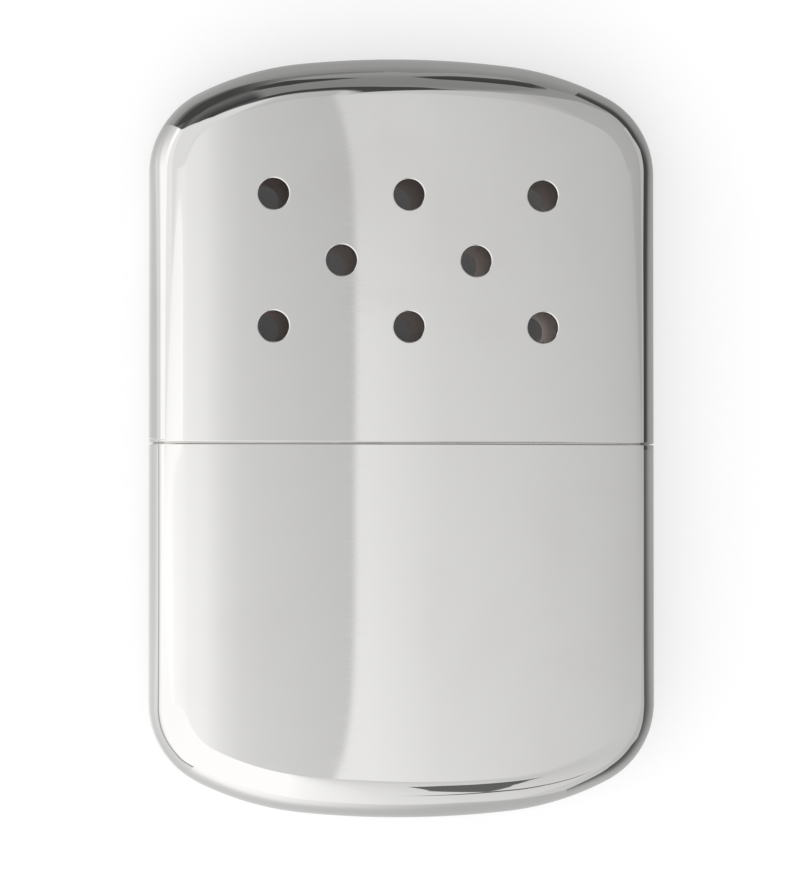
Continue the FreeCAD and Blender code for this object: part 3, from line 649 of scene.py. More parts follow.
def soft_patches(name):
    """Slow uneven patches of handling and soot, and of painted shade in the hollows of packed
    fibre.
    """
    group, given, out = new_group(name, {"Scale": 60.0, "Low": 0.4, "High": 0.65}, ("Mask",))
    patches = speckle(group, own_place(group), {
        "Scale": given["Scale"], "Detail": 4.0, "Roughness": 0.55, "Distortion": 0.3})["Fac"]
    feed(group, out, {"Mask": rising(group, patches, given["Low"], given["High"])})
    return group


def heat_tint(name):
    """How hot the steel has been, from 0 at the neck to 1 beside the catalyst."""
    group, given, out = new_group(name, {"Cool": 0.0, "Hot": 0.01}, ("Heat",))
    place = own_place(group)
    patches = speckle(group, place, {
        "Scale": 140.0, "Detail": 4.0, "Roughness": 0.6, "Distortion": 0.4})["Fac"]
    ragged = calc(group, "MULTIPLY_ADD", patches, 9 * MM, axes_of(group, place)["Y"])
    feed(group, out, {"Heat": rising(group, ragged, given["Cool"], given["Hot"])})
    return group


def loose_fibres(name):
    """Fine threads lying in every direction."""
    group, given, out = new_group(name, {"Scale": 900.0, "Stretch": 8.0}, ("Mask", "Height"))
    place = own_place(group)
    bent = speckle(group, place, {"Scale": 220.0, "Detail": 2.0})["Color"]
    place = vectors(group, "ADD", place, shade(group, bent, 4 * MM))
    size = combine(group, given["Stretch"], 1.0, 1.0)
    threads = []
    for turn in ((0.3, 0.2, 0.5), (0.9, -0.4, 2.1), (-0.7, 0.8, 1.2)):
        turned = add(group, "ShaderNodeMapping", {"Vector": place, "Rotation": turn}).outputs[0]
        threads.append(speckle(group, vectors(group, "DIVIDE", turned, size), {
            "Scale": given["Scale"], "Detail": 2.0, "Roughness": 0.7})["Fac"])
    top = calc(group, "MAXIMUM", calc(group, "MAXIMUM", threads[0], threads[1]), threads[2])
    feed(group, out, {"Mask": share_of(group, top, 0.5, 0.75), "Height": top})
    return group


# ---------------------------------------------------------------- the finishes

def polished_chrome(name, finish):
    """Mirror plating with slow waves, faint hairlines and a little haze."""
    material, tree, shader = new_tree_material(name)
    waves = use_group(tree, sheet_waves, scale=34.0, stretch=0.8)
    lines = use_group(tree, hairlines, across=35.0, along=5200.0, depth_axis=300.0)
    haze = use_group(tree, soft_patches, scale=45.0, low=0.5, high=0.8)
    slow = bump(tree, waves["Height"], 1.0, finish.waviness)
    feed(tree, shader, {
        "Base Color": blend(tree, haze["Mask"], toned(finish.chrome), toned(finish.haze)),
        "Roughness": range_of(
            tree, lines["Mask"], finish.gloss, finish.gloss + finish.hairline),
        "Normal": bump(tree, lines["Height"], 0.15, 0.0006 * MM, under=slow),
        "Metallic": 1.0})
    return material


def drawn_inside(name, finish):
    """The unpolished inner face of a drawn and plated shell, with a little soot."""
    material, tree, shader = new_tree_material(name)
    lines = use_group(tree, hairlines, across=300.0, along=40.0, depth_axis=300.0)
    soot = use_group(tree, soft_patches, scale=90.0, low=0.35, high=0.75)
    feed(tree, shader, {
        "Base Color": blend(tree, soot["Mask"], toned(finish.inside), toned(finish.inside, 0.6)),
        "Roughness": range_of(tree, soot["Mask"], 0.3, 0.45),
        "Normal": bump(tree, lines["Height"], 0.5, 0.01 * MM),
        "Metallic": 1.0})
    return material


def satin_nickel(name, finish):
    """Satin plate with fine brushing along the part, and a little handling wear."""
    material, tree, shader = new_tree_material(name)
    lines = use_group(tree, hairlines, across=60.0, along=6000.0, depth_axis=60.0)
    worn = use_group(tree, soft_patches, scale=120.0, low=0.45, high=0.75)
    feed(tree, shader, {
        "Base Color": blend(tree, worn["Mask"], toned(finish.nickel), toned(finish.nickel, 0.82)),
        "Roughness": range_of(tree, lines["Mask"], 0.2, 0.38),
        "Normal": bump(tree, lines["Height"], 0.4, 0.004 * MM),
        "Metallic": 1.0})
    return material


def tinted_steel(name, finish):
    """Satin steel, straw and blue where the burner has been hot, darker where soot has settled."""
    material, tree, shader = new_tree_material(name)
    lines = use_group(tree, hairlines, across=50.0, along=5000.0, depth_axis=50.0)
    heat = use_group(tree, heat_tint, cool=3.5 * MM, hot=14.5 * MM)
    soot = use_group(tree, soft_patches, scale=260.0, low=0.52, high=0.8)
    tints = ramp(tree, heat["Heat"], (
        (0.0, finish.steel), (0.35, finish.steel), (0.62, finish.straw), (0.85, finish.blue),
        (1.0, finish.steel)))
    feed(tree, shader, {
        "Base Color": blend(tree, soot["Mask"], tints, (0.62, 0.6, 0.58, 1), "MULTIPLY"),
        "Roughness": range_of(tree, lines["Mask"], 0.26, 0.42),
        "Normal": bump(tree, lines["Height"], 0.5, 0.005 * MM),
        "Metallic": 1.0})
    return material


def gauze_wire(name, finish):
    """Dull drawn wire, darker where soot has settled."""
    material, tree, shader = new_tree_material(name)
    soot = use_group(tree, soft_patches, scale=420.0, low=0.4, high=0.7)
    feed(tree, shader, {
        "Base Color": blend(tree, soot["Mask"], toned(finish.wire), toned(finish.wire, 0.45)),
        "Roughness": range_of(tree, soot["Mask"], 0.32, 0.55),
        "Metallic": 1.0})
    return material


def packed_threads(name, tone, hollow, scale, depth, sheen):
    """Packed fibre: lighter raised threads, a painted highlight, over hollows that keep a share of
    their brightness, a painted shade.
    """
    material, tree, shader = new_tree_material(name)
    threads = use_group(tree, loose_fibres, scale=scale, stretch=9.0)
    hollow_shade_mask = use_group(tree, soft_patches, scale=scale / 6, low=0.35, high=0.65)
    # Painted shade: patches of hollows darkened to a share of the fibre's tone.
    packed = blend(tree, hollow_shade_mask["Mask"], toned(tone, hollow), toned(tone))
    feed(tree, shader, {
        # Painted highlight: the threads that the bump raises are lighter than the fibre's tone.
        "Base Color": blend(tree, threads["Mask"], packed, toned(tone, 1.12)),
        "Normal": bump(tree, threads["Height"], 0.9, depth),
        "Roughness": 0.9,
        "Specular IOR Level": 0.25,
        "Sheen Weight": sheen,
        "Sheen Roughness": 0.5})
    return material


# ---------------------------------------------------------------- operators

class HANDWARMER_OT_lid(bpy.types.Operator):
    """Build the polished lid with its vents"""
    bl_idname = "handwarmer.lid"
    bl_label = "Lid"

    def execute(self, context):
        sizes = context.scene.case_sizes
        seam = LID_LOW.y

        def at_seam(edge):
            return all(abs(v.co.y - seam) < 10 * CLOSE for v in edge.verts)

        def at_vent(edge):
            return all(v.co.y > seam + 5 * MM for v in edge.verts)

        columns = [round(k * sizes.vent_pitch / 2, 7) for k in range(-2, 3)]
        rows = [sizes.vent_first + k * sizes.vent_row for k in range(3)]
        offsets = [k * VENT_PATCH / VENT_PATCH_STEPS
                   for k in range(-VENT_PATCH_STEPS, VENT_PATCH_STEPS + 1)]
        across = [column + offset for column in columns for offset in offsets]
        across += [side * place * MM for side in (1, -1) for place in LID_CUTS_ACROSS]
        along = [row + offset for row in rows for offset in offsets]
        along += [place * MM for place in LID_CUTS_ALONG]
        bm = bmesh.new()
        whole_case(bm, sizes)
        rule_faces(bm, across, along)
        cut_vents(bm, sizes)
        cut(bm, all_of(bm), (0, seam, 0), (0, 1, 0), clear_inner=True)
        give_wall(bm, sizes, ((at_seam, sizes.lip, LIP_STEPS),
                              (at_vent, sizes.vent_roll, VENT_ROLL_STEPS)))
        shell_piece(bm, "lid_shell", "lid", context.scene.case_finish)
        return {"FINISHED"}


class HANDWARMER_OT_tank(bpy.types.Operator):
    """Build the polished tank shell"""
    bl_idname = "handwarmer.tank"
    bl_label = "Tank Shell"

    def execute(self, context):
        sizes = context.scene.case_sizes
        bm = bmesh.new()
        whole_case(bm, sizes)
        rule_faces(bm, [place * MM for place in TANK_CUTS_ACROSS],
                   [place * MM for place in TANK_CUTS_ALONG])
        cut(bm, all_of(bm), (0, TANK_HIGH.y, 0), (0, 1, 0), clear_outer=True)
        give_wall(bm, sizes, ((lambda edge: True, sizes.lip, LIP_STEPS),))
        shell_piece(bm, "tank_shell", "tank", context.scene.case_finish)
        return {"FINISHED"}


def dress(names, material):
    """Gives the named CAD pieces a finish."""
    for name in names:
        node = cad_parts[name]
        if not node.material_slots:
            node.data.materials.append(material)
        for place in node.material_slots:
            place.link = "OBJECT"
            place.material = material


class HANDWARMER_OT_neck(bpy.types.Operator):
    """Finish the collar, the shoulder plate and the filler neck"""
    bl_idname = "handwarmer.neck"
    bl_label = "Collar and Neck"

    def execute(self, context):
        dress(NICKEL_NODES, material_once(
            "Satin Nickel", satin_nickel, context.scene.fitting_finish))
        return {"FINISHED"}


class HANDWARMER_OT_burner(bpy.types.Operator):
    """Finish the burner's skirt, cage, grilles and cap"""
    bl_idname = "handwarmer.burner"
    bl_label = "Burner"

    def execute(self, context):
        dress(STEEL_NODES, material_once(
            "Tinted Steel", tinted_steel, context.scene.fitting_finish))
        return {"FINISHED"}


def woven_wire(bm, start, along, count, pitch, width, rise, phase):
    """One wire of a plain weave: over one crossing wire and under the next."""
    turn = along.to_track_quat("Z", "Y").to_matrix().to_4x4()
    place = start - along * pitch / 2
    made = bmesh.ops.create_circle(
        bm, cap_ends=True, radius=width / 2, segments=WIRE_SIDES,
        matrix=Matrix.Translation(place) @ turn)["verts"]
    face = made[0].link_faces[0]
    height = 0
    for number in range(count + 1):
        target = rise * (1 if (number + phase) % 2 else -1) if number < count else 0
        step = pitch / 2 if number in (0, count) else pitch
        grown = bmesh.ops.extrude_face_region(bm, geom=[face])["geom"]
        face = only(grown, bmesh.types.BMFace)[0]
        bmesh.ops.translate(
            bm, verts=face.verts[:], vec=along * step + Vector((0, 0, target - height)))
        height = target


def weave(node, finish):
    """The woven gauze that stands for a plain sheet."""
    low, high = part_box(node)
    pitch, width = finish.wire_pitch, finish.wire_width
    rise = (high.z - low.z - width) / 2 * WEAVE_FILL
    middle = (low.z + high.z) / 2
    columns = int((high.x - low.x - width) / pitch)
    rows = int((high.y - low.y - width) / pitch)
    left = (low.x + high.x - (columns - 1) * pitch) / 2
    foot = (low.y + high.y - (rows - 1) * pitch) / 2
    bm = bmesh.new()
    for across, count, along, crossed, turn in (
            (Vector((1, 0, 0)), columns, Vector((0, 1, 0)), rows, 0),
            (Vector((0, 1, 0)), rows, Vector((1, 0, 0)), columns, 1)):
        for phase in range(2):
            before = set(bm.verts)
            start = Vector((left, foot, middle)) + across * pitch * phase
            woven_wire(bm, start, along, crossed, pitch, width, rise, phase + turn)
            wire = [v for v in bm.verts if v not in before]
            faces = list({f for v in wire for f in v.link_faces})
            bmesh.ops.recalc_face_normals(bm, faces=faces)
            for copy in range(2, count - phase, 2):
                made = bmesh.ops.duplicate(bm, geom=part_of(faces))["geom"]
                bmesh.ops.translate(
                    bm, verts=only(made, bmesh.types.BMVert), vec=across * pitch * copy)
    return bm


class HANDWARMER_OT_gauze(bpy.types.Operator):
    """Build the woven gauze behind each grille"""
    bl_idname = "handwarmer.gauze"
    bl_label = "Gauze"

    def execute(self, context):
        finish = context.scene.fitting_finish
        wire = material_once("Gauze Wire", gauze_wire, finish)
        for node in GAUZE_NODES:
            finish_piece(weave(node, finish), node + "_woven", "burner", [wire], node)
        return {"FINISHED"}


def packed_fibre(node, body, material, *, grain, inset, tufts, seed):
    """A soft piece in the space of its plain solid: rounded, pulled in and tufted.

    Grain is the size of its faces. Each kind of tuft is its size and how far it stands up.
    """
    rough = bpy.data.objects.new(node + "_rough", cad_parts[node].data.copy())
    bpy.context.scene.collection.objects.link(rough)
    weld = rough.modifiers.new("Weld", "WELD")
    weld.merge_threshold = CLOSE
    remesh = rough.modifiers.new("Remesh", "REMESH")
    remesh.mode = "VOXEL"
    remesh.voxel_size = grain
    bm = bmesh.new()
    bm.from_object(rough, bpy.context.evaluated_depsgraph_get())
    bpy.data.objects.remove(rough)
    for _ in range(SOFT_PASSES):
        bmesh.ops.smooth_vert(bm, verts=bm.verts[:], factor=0.5, use_axis_x=True,
                              use_axis_y=True, use_axis_z=True)
    bm.normal_update()
    moves = []
    for vert in bm.verts:
        lumps = sum(
            depth * (noise.noise(vert.co / size + Vector((seed, size / MM, 0))) - TUFT_SINK)
            for size, depth in tufts)
        moves.append(vert.normal * (lumps - inset))
    low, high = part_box(node)
    for vert, move in zip(bm.verts, moves):
        vert.co += move
        for axis in range(3):
            least, most = low[axis] + SOFT_MARGIN, high[axis] - SOFT_MARGIN
            vert.co[axis] = min(max(vert.co[axis], least), most)
    piece = finish_piece(bm, node + "_packed", body, [material], node)


class HANDWARMER_OT_catalyst(bpy.types.Operator):
    """Build the catalyst mat in the burner's cage"""
    bl_idname = "handwarmer.catalyst"
    bl_label = "Catalyst Mat"

    def execute(self, context):
        material = material_once(
            "Glass Fibre", packed_threads, context.scene.fitting_finish.glass,
            hollow=0.55, scale=1500.0, depth=0.08 * MM, sheen=0.15)
        packed_fibre(
            "catalyst_mat", "burner", material,
            grain=0.3 * MM, inset=0.06 * MM, tufts=((4 * MM, 0.2 * MM), (1.1 * MM, 0.14 * MM)),
            seed=1)
        return {"FINISHED"}


class HANDWARMER_OT_wick(bpy.types.Operator):
    """Build the felt wick in the filler neck"""
    bl_idname = "handwarmer.wick"
    bl_label = "Wick"

    def execute(self, context):
        material = material_once(
            "Pressed Felt", packed_threads, context.scene.fitting_finish.felt,
            hollow=0.7, scale=1300.0, depth=0.06 * MM, sheen=0.3)
        packed_fibre(
            "neck_wick", "tank", material,
            grain=0.3 * MM, inset=0.04 * MM, tufts=((5 * MM, 0.12 * MM), (1.4 * MM, 0.08 * MM)),
            seed=2)
        return {"FINISHED"}


class HANDWARMER_OT_wadding(bpy.types.Operator):
    """Build the three layers of cotton wadding in the tank"""
    bl_idname = "handwarmer.wadding"
    bl_label = "Wadding"

    def execute(self, context):
        material = material_once(
            "Cotton Wadding", packed_threads, context.scene.fitting_finish.cotton,
            hollow=0.78, scale=700.0, depth=0.15 * MM, sheen=0.4)
        for number, node in enumerate(WADDING_NODES):
            packed_fibre(
                node, "tank", material, grain=0.6 * MM, inset=0.1 * MM,
                tufts=((9 * MM, 0.9 * MM), (3.2 * MM, 0.6 * MM), (1.3 * MM, 0.25 * MM)),
                seed=3 + number)
        return {"FINISHED"}


class HANDWARMER_OT_studio(bpy.types.Operator):
    """Build the floor, the surround, the cards and the camera"""
    bl_idname = "handwarmer.studio"
    bl_label = "Studio"

    def execute(self, context):
        studio = context.scene.studio_settings
        make_floor(studio)
        make_surround(studio)
        make_cards(studio)
        make_camera(studio)
        context.scene.view_settings.view_transform = "Standard"
        return {"FINISHED"}


def make_floor(studio):
    """A large pale floor, lifted to white by a glow, with painted shade where pieces cover it: the
    glow fades there by ambient occlusion.
    """
    material, tree, shader = new_tree_material("Pale Floor")
    rays = add(tree, "ShaderNodeLightPath").outputs
    seen = calc(tree, "MAXIMUM", rays["Is Camera Ray"],
                calc(tree, "MAXIMUM", rays["Is Glossy Ray"], rays["Is Transmission Ray"]))
    # Painted shade: ambient occlusion takes the glow away under and close to the pieces that cover
    # the floor.
    open_above = add(tree, "ShaderNodeAmbientOcclusion", {"Distance": studio.floor_reach},
                     samples=8).outputs["AO"]
    share = calc(tree, "MAXIMUM", rising(tree, open_above, *FLOOR_OPENS), FLOOR_LEAST)
    lift = calc(tree, "MULTIPLY", share, studio.floor_lift)
    feed(tree, shader, {
        "Base Color": toned(studio.floor),
        "Roughness": 0.9,
        "Specular IOR Level": 0.0,
        "Emission Color": (1, 1, 1, 1),
        "Emission Strength": calc(tree, "MULTIPLY", lift, seen)})
    bm = bmesh.new()
    bmesh.ops.create_circle(bm, cap_ends=True, radius=studio.floor_radius, segments=96)
    new_object(bm, "floor", [material])


def streaks(tree, bearing, rise, *lines):
    """Narrow dark streaks, each through points given as bearing, rise and half width."""
    dark = None
    for points in lines:
        low, high = points[0][0], points[-1][0]
        centre = bands(tree, bearing, low, high, [(at, middle) for at, middle, _ in points])
        width = bands(tree, bearing, low, high, [(at, half) for at, _, half in points])
        away = calc(tree, "ABSOLUTE", calc(tree, "SUBTRACT", rise, centre))
        line = rising(tree, calc(tree, "SUBTRACT", away, width), 0.0, -STREAK_FADE)
        dark = line if dark is None else calc(tree, "MAXIMUM", dark, line)
    return dark


def panels(tree, studio, lean, tilt):
    """What the flat faces mirror: a panel on the left, brighter far out, and one on the right."""
    white = studio.white
    # The panels' edges bend towards the left, more and more steeply near the case's two ends.
    near_end = calc(tree, "MINIMUM", calc(tree, "ABSOLUTE", tilt), 4.4)
    pull = calc(tree, "POWER", calc(tree, "DIVIDE", near_end, 4.3), 7.0)
    edge = calc(tree, "MULTIPLY_ADD", pull, 1.25, lean)
    soft = studio.step_soft / 2
    step = rising(tree, edge, studio.step_at - soft, studio.step_at + soft)
    turn = calc(tree, "MULTIPLY_ADD", pull, 30.0, lean)
    # On the left, the half towards the lid and the half towards the tank differ far out.
    near_step = ((-7, 1.27), (-6, 1.22), (-5, 1.05), (-3.7, 0.93), (-2.5, 0.89), (0, 0.84),
                 (3, 0.79))
    upper = bands(tree, lean, -90, 10, ((-90, 1.35), (-20, 1.33)) + near_step)
    panel = bands(tree, turn, -90, 10, ((-90, white), (10, white)))
    upper = blend(tree, rising(tree, turn, -19.5, -22.0), upper, panel)
    lower = bands(tree, lean, -90, 10, (
        (-90, white), (-60, white), (-45, 1.37), (-20, 1.32)) + near_step)
    left = blend(tree, rising(tree, tilt, -0.15, 0.15), lower, upper)
    right = bands(tree, lean, 0, 90, (
        (0, 1.13), (4, 1.12), (6, 1.06), (8.5, 0.98), (13.4, 0.91), (18.4, 0.82), (20, 0.77),
        (48, 0.75), (75, 0.7), (90, 0.64)))
    # A little darker beside the step towards the lid, and up the case.
    corner = calc(tree, "MULTIPLY", rising(tree, tilt, 1.2, 3.2), rising(tree, lean, 8.0, 3.0))
    right = shade(tree, right, calc(tree, "MULTIPLY_ADD", corner, -0.08, 1.0))
    gentle = calc(tree, "MINIMUM", calc(tree, "MAXIMUM", tilt, -5.0), 5.0)
    fall = calc(tree, "MULTIPLY_ADD", gentle, -studio.fall, 1.0)
    ends = calc(tree, "MULTIPLY_ADD", rising(tree, tilt, 4.1, 5.2), -0.09, fall)
    return shade(tree, blend(tree, step, left, right), ends)


def cloth_past_lid(tree, bearing, rise):
    """Grey folded cloth past the lid's end, darker on the left, and the mask of where it hangs."""
    cloth = bands(tree, rise, 20, 70, ((20, 0.43), (26, 0.38), (34, 0.34), (56, 0.32), (66, 0.4)))
    folds = streaks(
        tree, bearing, rise,
        ((63, 22, 0), (66, 22, 9), (73, 25, 10), (78, 28, 8), (82, 30, 0)),
        ((58, 62, 0), (62, 66, 3), (67, 70, 6), (72, 70, 8), (78, 68, 6), (88, 64, 6),
         (104, 64, 6)),
        ((86, 32, 0), (91, 31, 5), (97, 29, 9), (104, 26, 7), (108, 24, 0)))
    cloth = shade(tree, cloth, calc(tree, "MULTIPLY_ADD", folds, -0.8, 1.0))
    dark = bands(tree, rise, 0, 70, (
        (0, 0.25), (12, 0.2), (22, 0.1), (33, 0.2), (44, 0.12), (56, 0.06), (64, 0.16)))
    cloth = blend(tree, rising(tree, bearing, 103.0, 107.0), cloth, dark)
    plain = bands(tree, rise, 0, 90, ((0, 0.43), (40, 0.42), (60, 0.5), (90, 0.6)))
    cloth = blend(tree, rising(tree, bearing, 67.0, 61.0), cloth, plain)
    # The cloth hangs from this rise down.
    inner = bands(tree, bearing, 40, 150, (
        (40, 8.0), (50, 14.0), (56, 26.0), (59, 58.0), (64, 70.0), (70, 80.0), (76, 76.0),
        (85, 68.0), (108, 66.0), (120, 60.0), (130, 50.0), (141, 28.0), (147, 5.0)))
    where = calc(tree, "MULTIPLY", rising(tree, bearing, 40.0, 44.0),
                 rising(tree, calc(tree, "SUBTRACT", rise, inner), 2.0, -2.0))
    return cloth, calc(tree, "MULTIPLY", where, rising(tree, bearing, 148.0, 147.0))


def light_past_tank(tree, studio, bearing, rise, tilt):
    """A bright surround past the tank's end with two dark folds, and the mask of where it is."""
    white = studio.white
    light = bands(tree, bearing, -180, 0, (
        (-180, white), (-98, white), (-93, 1.38), (-89, 1.26), (-84, 1.12), (-76, 1.02),
        (-60, 0.95), (-45, 0.85), (0, 0.75)))
    folds = streaks(
        tree, bearing, rise,
        ((-75, 54, 0), (-71, 54, 15), (-63, 60, 9), (-54, 60, 3), (-48, 58, 0)),
        ((-84, 41, 0), (-78, 40, 1.5), (-70, 38, 3), (-62, 32, 2.5), (-56, 24, 2), (-50, 18, 0)))
    light = shade(tree, light, calc(tree, "MULTIPLY_ADD", folds, -0.82, 1.0))
    return light, calc(tree, "MULTIPLY", rising(tree, tilt, -4.4, -4.8),
                       rising(tree, bearing, -30.0, -45.0))


def make_surround(studio):
    """The world: panels beside the case, cloth and light past its ends, and a white horizon.

    Lean and tilt are degrees across and up the case, from near straight above it. Rise is degrees
    above the horizon, and bearing is degrees round it from the case's right side.
    """
    world = bpy.data.worlds.new("Surround")
    bpy.context.scene.world = world
    world.use_nodes = True
    tree = world.node_tree
    axes = axes_of(tree, add(tree, "ShaderNodeTexCoord").outputs["Generated"])

    def degrees(operation, *values):
        return calc(tree, "MULTIPLY", calc(tree, operation, *values), math.degrees(1))

    lean = calc(tree, "SUBTRACT", degrees("ARCTAN2", axes["X"], axes["Z"]), LEAN_START)
    tilt = calc(tree, "SUBTRACT", degrees("ARCTAN2", axes["Y"], axes["Z"]), TILT_START)
    rise = degrees("ARCSINE", axes["Z"])
    bearing = degrees("ARCTAN2", axes["Y"], axes["X"])
    whole = panels(tree, studio, lean, tilt)
    cloth, past_lid = cloth_past_lid(tree, bearing, rise)
    whole = blend(tree, past_lid, whole, cloth)
    light, past_tank = light_past_tank(tree, studio, bearing, rise, tilt)
    whole = blend(tree, past_tank, whole, light)
    whole = blend(tree, rising(tree, rise, *HORIZON), whole, combine(tree, 1.0, 1.0, 1.0))
    feed(tree, tree.nodes["Background"], {"Color": whole})


def card_rows(studio):
    """The low cards round the case: name, gap, layer, brightness and top edge.

    Brightness is given at heights, at one angle or two, and the top edge as angles and heights.
    Angles are degrees round the case from its right side, and heights are millimetres. A higher
    layer stands behind a lower one. The cards past the lid's end stand farther out, where the
    lifted lid doesn't reach them.
    """
    grey, dark, white, lower = studio.grey_card, studio.dark_card, studio.white, studio.lower_card
    beside = Vector((studio.card_gap, studio.card_gap))
    past = Vector((END_GAP_ASIDE * studio.end_gap, studio.end_gap))
    return (
        ("right_card", beside, 0,
         ((34, ((0, 0.5), (3, grey), (6.5, 0.36), (8.5, 0.2), (10, 0.1), (11, dark))),
          (44, ((0, 0.5), (3, grey), (8.5, 0.39), (10.3, 0.31), (12, 0.1), (13, dark)))),
         ((-1, 14.4), (22, 14.4), (33, 13.3), (38, 12.8), (41, 14.4), (44, 14.5))),
        ("right_low", beside, 0,
         ((-58, ((0, 0.66), (6, 0.63), (8.5, 0.55), (10, 0.34), (12, 0.14))),
          (-30, ((0, 0.52), (4, 0.45), (7, 0.37), (9.5, 0.24), (12, 0.15)))),
         ((-58, 10.6), (-55, 11.8), (-51, 12.5), (-49, 13.5), (-42, 13.3), (-40, 12),
          (-37, 12.5), (-34, 13.4), (-23, 14.3), (-1, 14.4))),
        ("right_back", beside, 2,
         ((-62, ((0, 0.88), (20, 0.88))),
          (-40, ((0, 0.7), (20, 0.7)))),
         ((-74, 14), (-62, 16), (-50, 17), (43.5, 17))),
        ("corner_card", past, 0,
         ((40, ((0.6, 0.5), (0.95, grey), (1.9, 0.39), (5.9, 0.31), (10.6, 0.1),
                (13.7, dark))),),
         ((20, 18), (33, 18), (44, 19), (50, 18.5))),
        ("top_card", past, 0,
         ((115, ((0.8, 0.46), (3.9, grey), (15, 0.38), (30, 0.3))),
          (140, ((0.8, 0.6), (1.1, 0.56), (1.65, 0.46), (6.7, 0.25)))),
         ((50, 18.9), (53.3, 24.2), (57.9, 26.4), (65, 19.5), (75.2, 20), (83, 27.1),
          (88.7, 23.5), (96.6, 20.2), (107.9, 19), (115.3, 15.3), (125, 7.3), (135.5, 5.6),
          (144.6, 6.5), (152, 6.5))),
        ("cloth_edge", past, 1,
         ((108, ((0, 0.3), (26.7, 0.28), (32, 0.22))),
          (125, ((0, 0.3), (7.3, 0.22), (13.6, dark)))),
         ((88.5, 26.2), (107.8, 28.6), (135.7, 31.9), (141.8, 22.9), (144.6, 15), (152, 15))),
        ("left_lid", beside, 0,
         ((137, ((0, 0.62), (6, 0.66), (9, 0.76), (11.5, 0.9), (13.3, 1.0), (14.2, white))),
          (148, ((0, 0.72), (2, 0.82), (5, 1.02), (6.5, 1.07), (8.2, 0.98), (10.5, 1.45)))),
         ((137, 16), (179.9, 16))),
        ("left_tank", beside, 0,
         ((-152, ((0, 0.75), (1, 0.82), (2, 0.95), (4, 1.1))),
          (-134, ((0, 0.8), (4, 0.85), (8, 0.95), (10, 1.08)))),
         ((-180, 5.7), (-164, 6.8), (-149, 7.8), (-142, 7.8), (-137, 9.2), (-134, 9.6),
          (-131, 11.4))),
        ("left_line", beside, 1,
         ((0, ((0, 0.58), (20, 0.58))),),
         ((-180, 6.8), (-164, 7.9), (-149, 8.9), (-142, 8.9), (-137, 10.1), (-134, 10.7),
          (-131, 12.6))),
        ("left_white", beside, 2,
         ((0, ((0, 1.0), (8, 1.05), (10.5, 1.42), (12, white))),),
         ((-180, 16), (-131, 16))),
        ("lower_card", beside, 0,
         ((-128, ((0, 0.82), (6, 0.9), (9, 1.07), (11, 1.35), (14, white))),
          (-75, ((0, 0.92 * lower), (12, 0.92 * lower), (20, 0.85)))),
         ((-131, 15.5), (-110, 17), (-78, 17), (-66, 13.4), (-58, 10.6))),
    )


def edge_stations(tops):
    """Angles and heights along a card's top edge, in even steps between those given."""
    found = [tops[0]]
    for (start, low), (end, high) in zip(tops, tops[1:]):
        steps = max(1, round((end - start) / CARD_STEP))
        for step in range(1, steps + 1):
            share = step / steps
            found.append((start + (end - start) * share, low + (high - low) * share))
    return found


def card_sheet(bm, gap, foot, tops):
    """Draws a card: a low apron that slopes out from the case, and the upright card behind it."""
    last = bm.verts.new((0, 0, 0))
    ring = []
    for _ in range(2):
        made = bmesh.ops.extrude_vert_indiv(bm, verts=[last])
        last = made["verts"][0]
        ring += made["edges"]
    for number, (turn, top) in enumerate(edge_stations(tops)):
        if number:
            _, ring = extruded(bm, ring)
        middle = (set(ring[0].verts) & set(ring[1].verts)).pop()
        column = (ring[0].other_vert(middle), middle, ring[1].other_vert(middle))
        reaches = (CARD_FOOT_GAP, gap, gap)
        heights = (foot, foot + CARD_APRON_RISE, top * MM)
        for vert, reach, height in zip(column, reaches, heights):
            vert.co = ((LID_HIGH.x + reach.x) * math.cos(math.radians(turn)),
                       (LID_HIGH.y + reach.y) * math.sin(math.radians(turn)), height)


def card_light(name, gap, bright):
    """What a card gives off by height, at one angle or blended between two."""
    material, tree, shader = new_tree_material(name)
    tree.nodes.remove(shader)
    axes = axes_of(tree, own_place(tree))
    height = calc(tree, "DIVIDE", axes["Z"], MM)
    shown = bands(tree, height, 0, CARD_HIGHEST, bright[0][1])
    if len(bright) > 1:
        turn = calc(tree, "ARCTAN2", calc(tree, "DIVIDE", axes["Y"], LID_HIGH.y + gap.y),
                    calc(tree, "DIVIDE", axes["X"], LID_HIGH.x + gap.x))
        share = rising(tree, turn, math.radians(bright[0][0]), math.radians(bright[1][0]))
        shown = blend(tree, share, shown, bands(tree, height, 0, CARD_HIGHEST, bright[1][1]))
    light = add(tree, "ShaderNodeEmission", {"Color": shown})
    feed(tree, tree.nodes["Material Output"], {"Surface": light.outputs[0]})
    return material


def make_cards(studio):
    """Low curved cards round the case, which only reflections show."""
    for name, gap, layer, bright, tops in card_rows(studio):
        gap = gap + Vector((layer, layer)) * MM
        bm = bmesh.new()
        card_sheet(bm, gap, CARD_FOOT - CARD_LAYER_DROP * layer, tops)
        card = new_object(bm, name, [card_light(name, gap, bright)])
        for ray in ("camera", "diffuse", "shadow", "transmission"):
            setattr(card, "visible_" + ray, False)


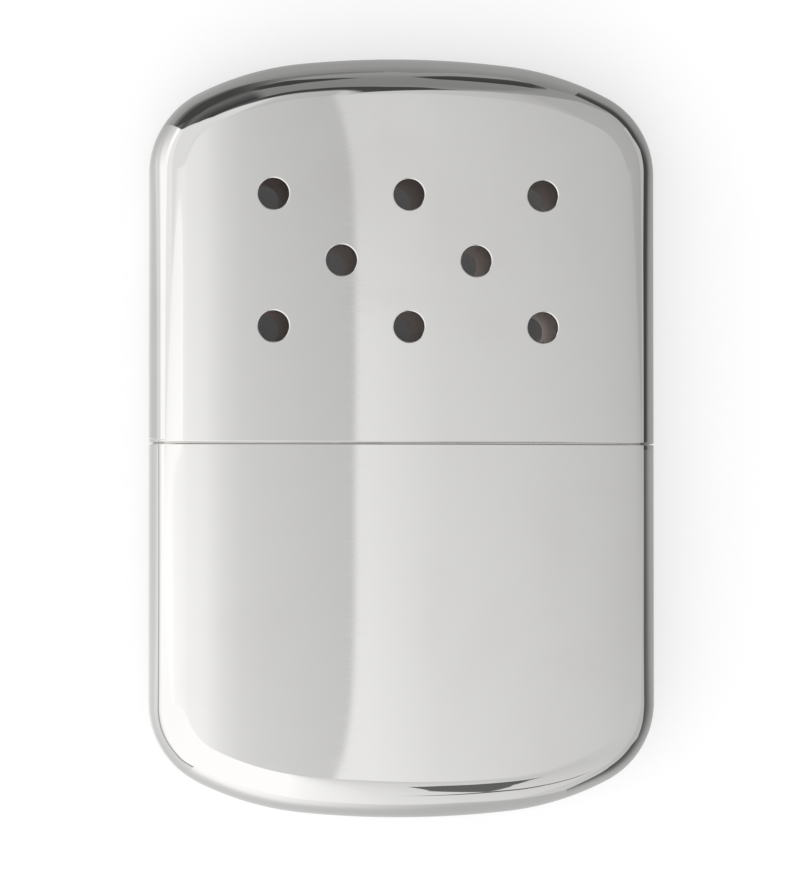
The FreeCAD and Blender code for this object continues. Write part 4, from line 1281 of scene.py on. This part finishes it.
def make_camera(studio):
    """The camera, nearly square on to the face of the case."""
    data = bpy.data.cameras.new("camera")
    camera = bpy.data.objects.new("camera", data)
    bpy.context.scene.collection.objects.link(camera)
    bpy.context.scene.camera = camera
    back = Vector(studio.direction).normalized()
    side = Vector((0, 1, 0)).cross(back).normalized()
    look = Matrix((side, back.cross(side), back)).transposed().to_4x4()
    aim = Vector((studio.aim_x, studio.aim_y, MIDDLE))
    camera.matrix_world = Matrix.Translation(aim + back * studio.distance) @ look
    data.sensor_width = 36.0
    data.lens = data.sensor_width * studio.distance / studio.frame_height
    data.clip_start, data.clip_end = 0.05, 20.0


class HANDWARMER_PT_panel(bpy.types.Panel):
    """The pieces of the hand warmer, in the order that they are built"""
    bl_idname = "HANDWARMER_PT_panel"
    bl_label = "Hand Warmer"
    bl_space_type = "VIEW_3D"
    bl_region_type = "UI"
    bl_category = "Hand Warmer"

    def draw(self, context):
        for operator in OPERATORS:
            self.layout.operator(operator.bl_idname)
        for label, _ in SETTINGS:
            box = self.layout.box()
            group = getattr(context.scene, label)
            for name in group.__annotations__:
                box.prop(group, name)


SETTINGS = (
    ("case_sizes", CaseSizes),
    ("case_finish", CaseFinish),
    ("fitting_finish", FittingFinish),
    ("studio_settings", StudioSettings),
)
OPERATORS = (
    HANDWARMER_OT_tank,
    HANDWARMER_OT_lid,
    HANDWARMER_OT_neck,
    HANDWARMER_OT_burner,
    HANDWARMER_OT_gauze,
    HANDWARMER_OT_catalyst,
    HANDWARMER_OT_wick,
    HANDWARMER_OT_wadding,
    HANDWARMER_OT_studio,
)


def register():
    """Makes the settings, the operators and the panel known."""
    for label, group in SETTINGS:
        bpy.utils.register_class(group)
        setattr(bpy.types.Scene, label, bpy.props.PointerProperty(type=group))
    for operator in OPERATORS:
        bpy.utils.register_class(operator)
    bpy.utils.register_class(HANDWARMER_PT_panel)


def unregister():
    """Takes them away again, in the opposite order."""
    bpy.utils.unregister_class(HANDWARMER_PT_panel)
    for operator in reversed(OPERATORS):
        bpy.utils.unregister_class(operator)
    for label, group in reversed(SETTINGS):
        delattr(bpy.types.Scene, label)
        bpy.utils.unregister_class(group)


def main():
    """Builds every piece and the studio."""
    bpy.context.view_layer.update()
    register()
    for operator in OPERATORS:
        area, name = operator.bl_idname.split(".")
        getattr(getattr(bpy.ops, area), name)()


if __name__ == "__main__":
    main()
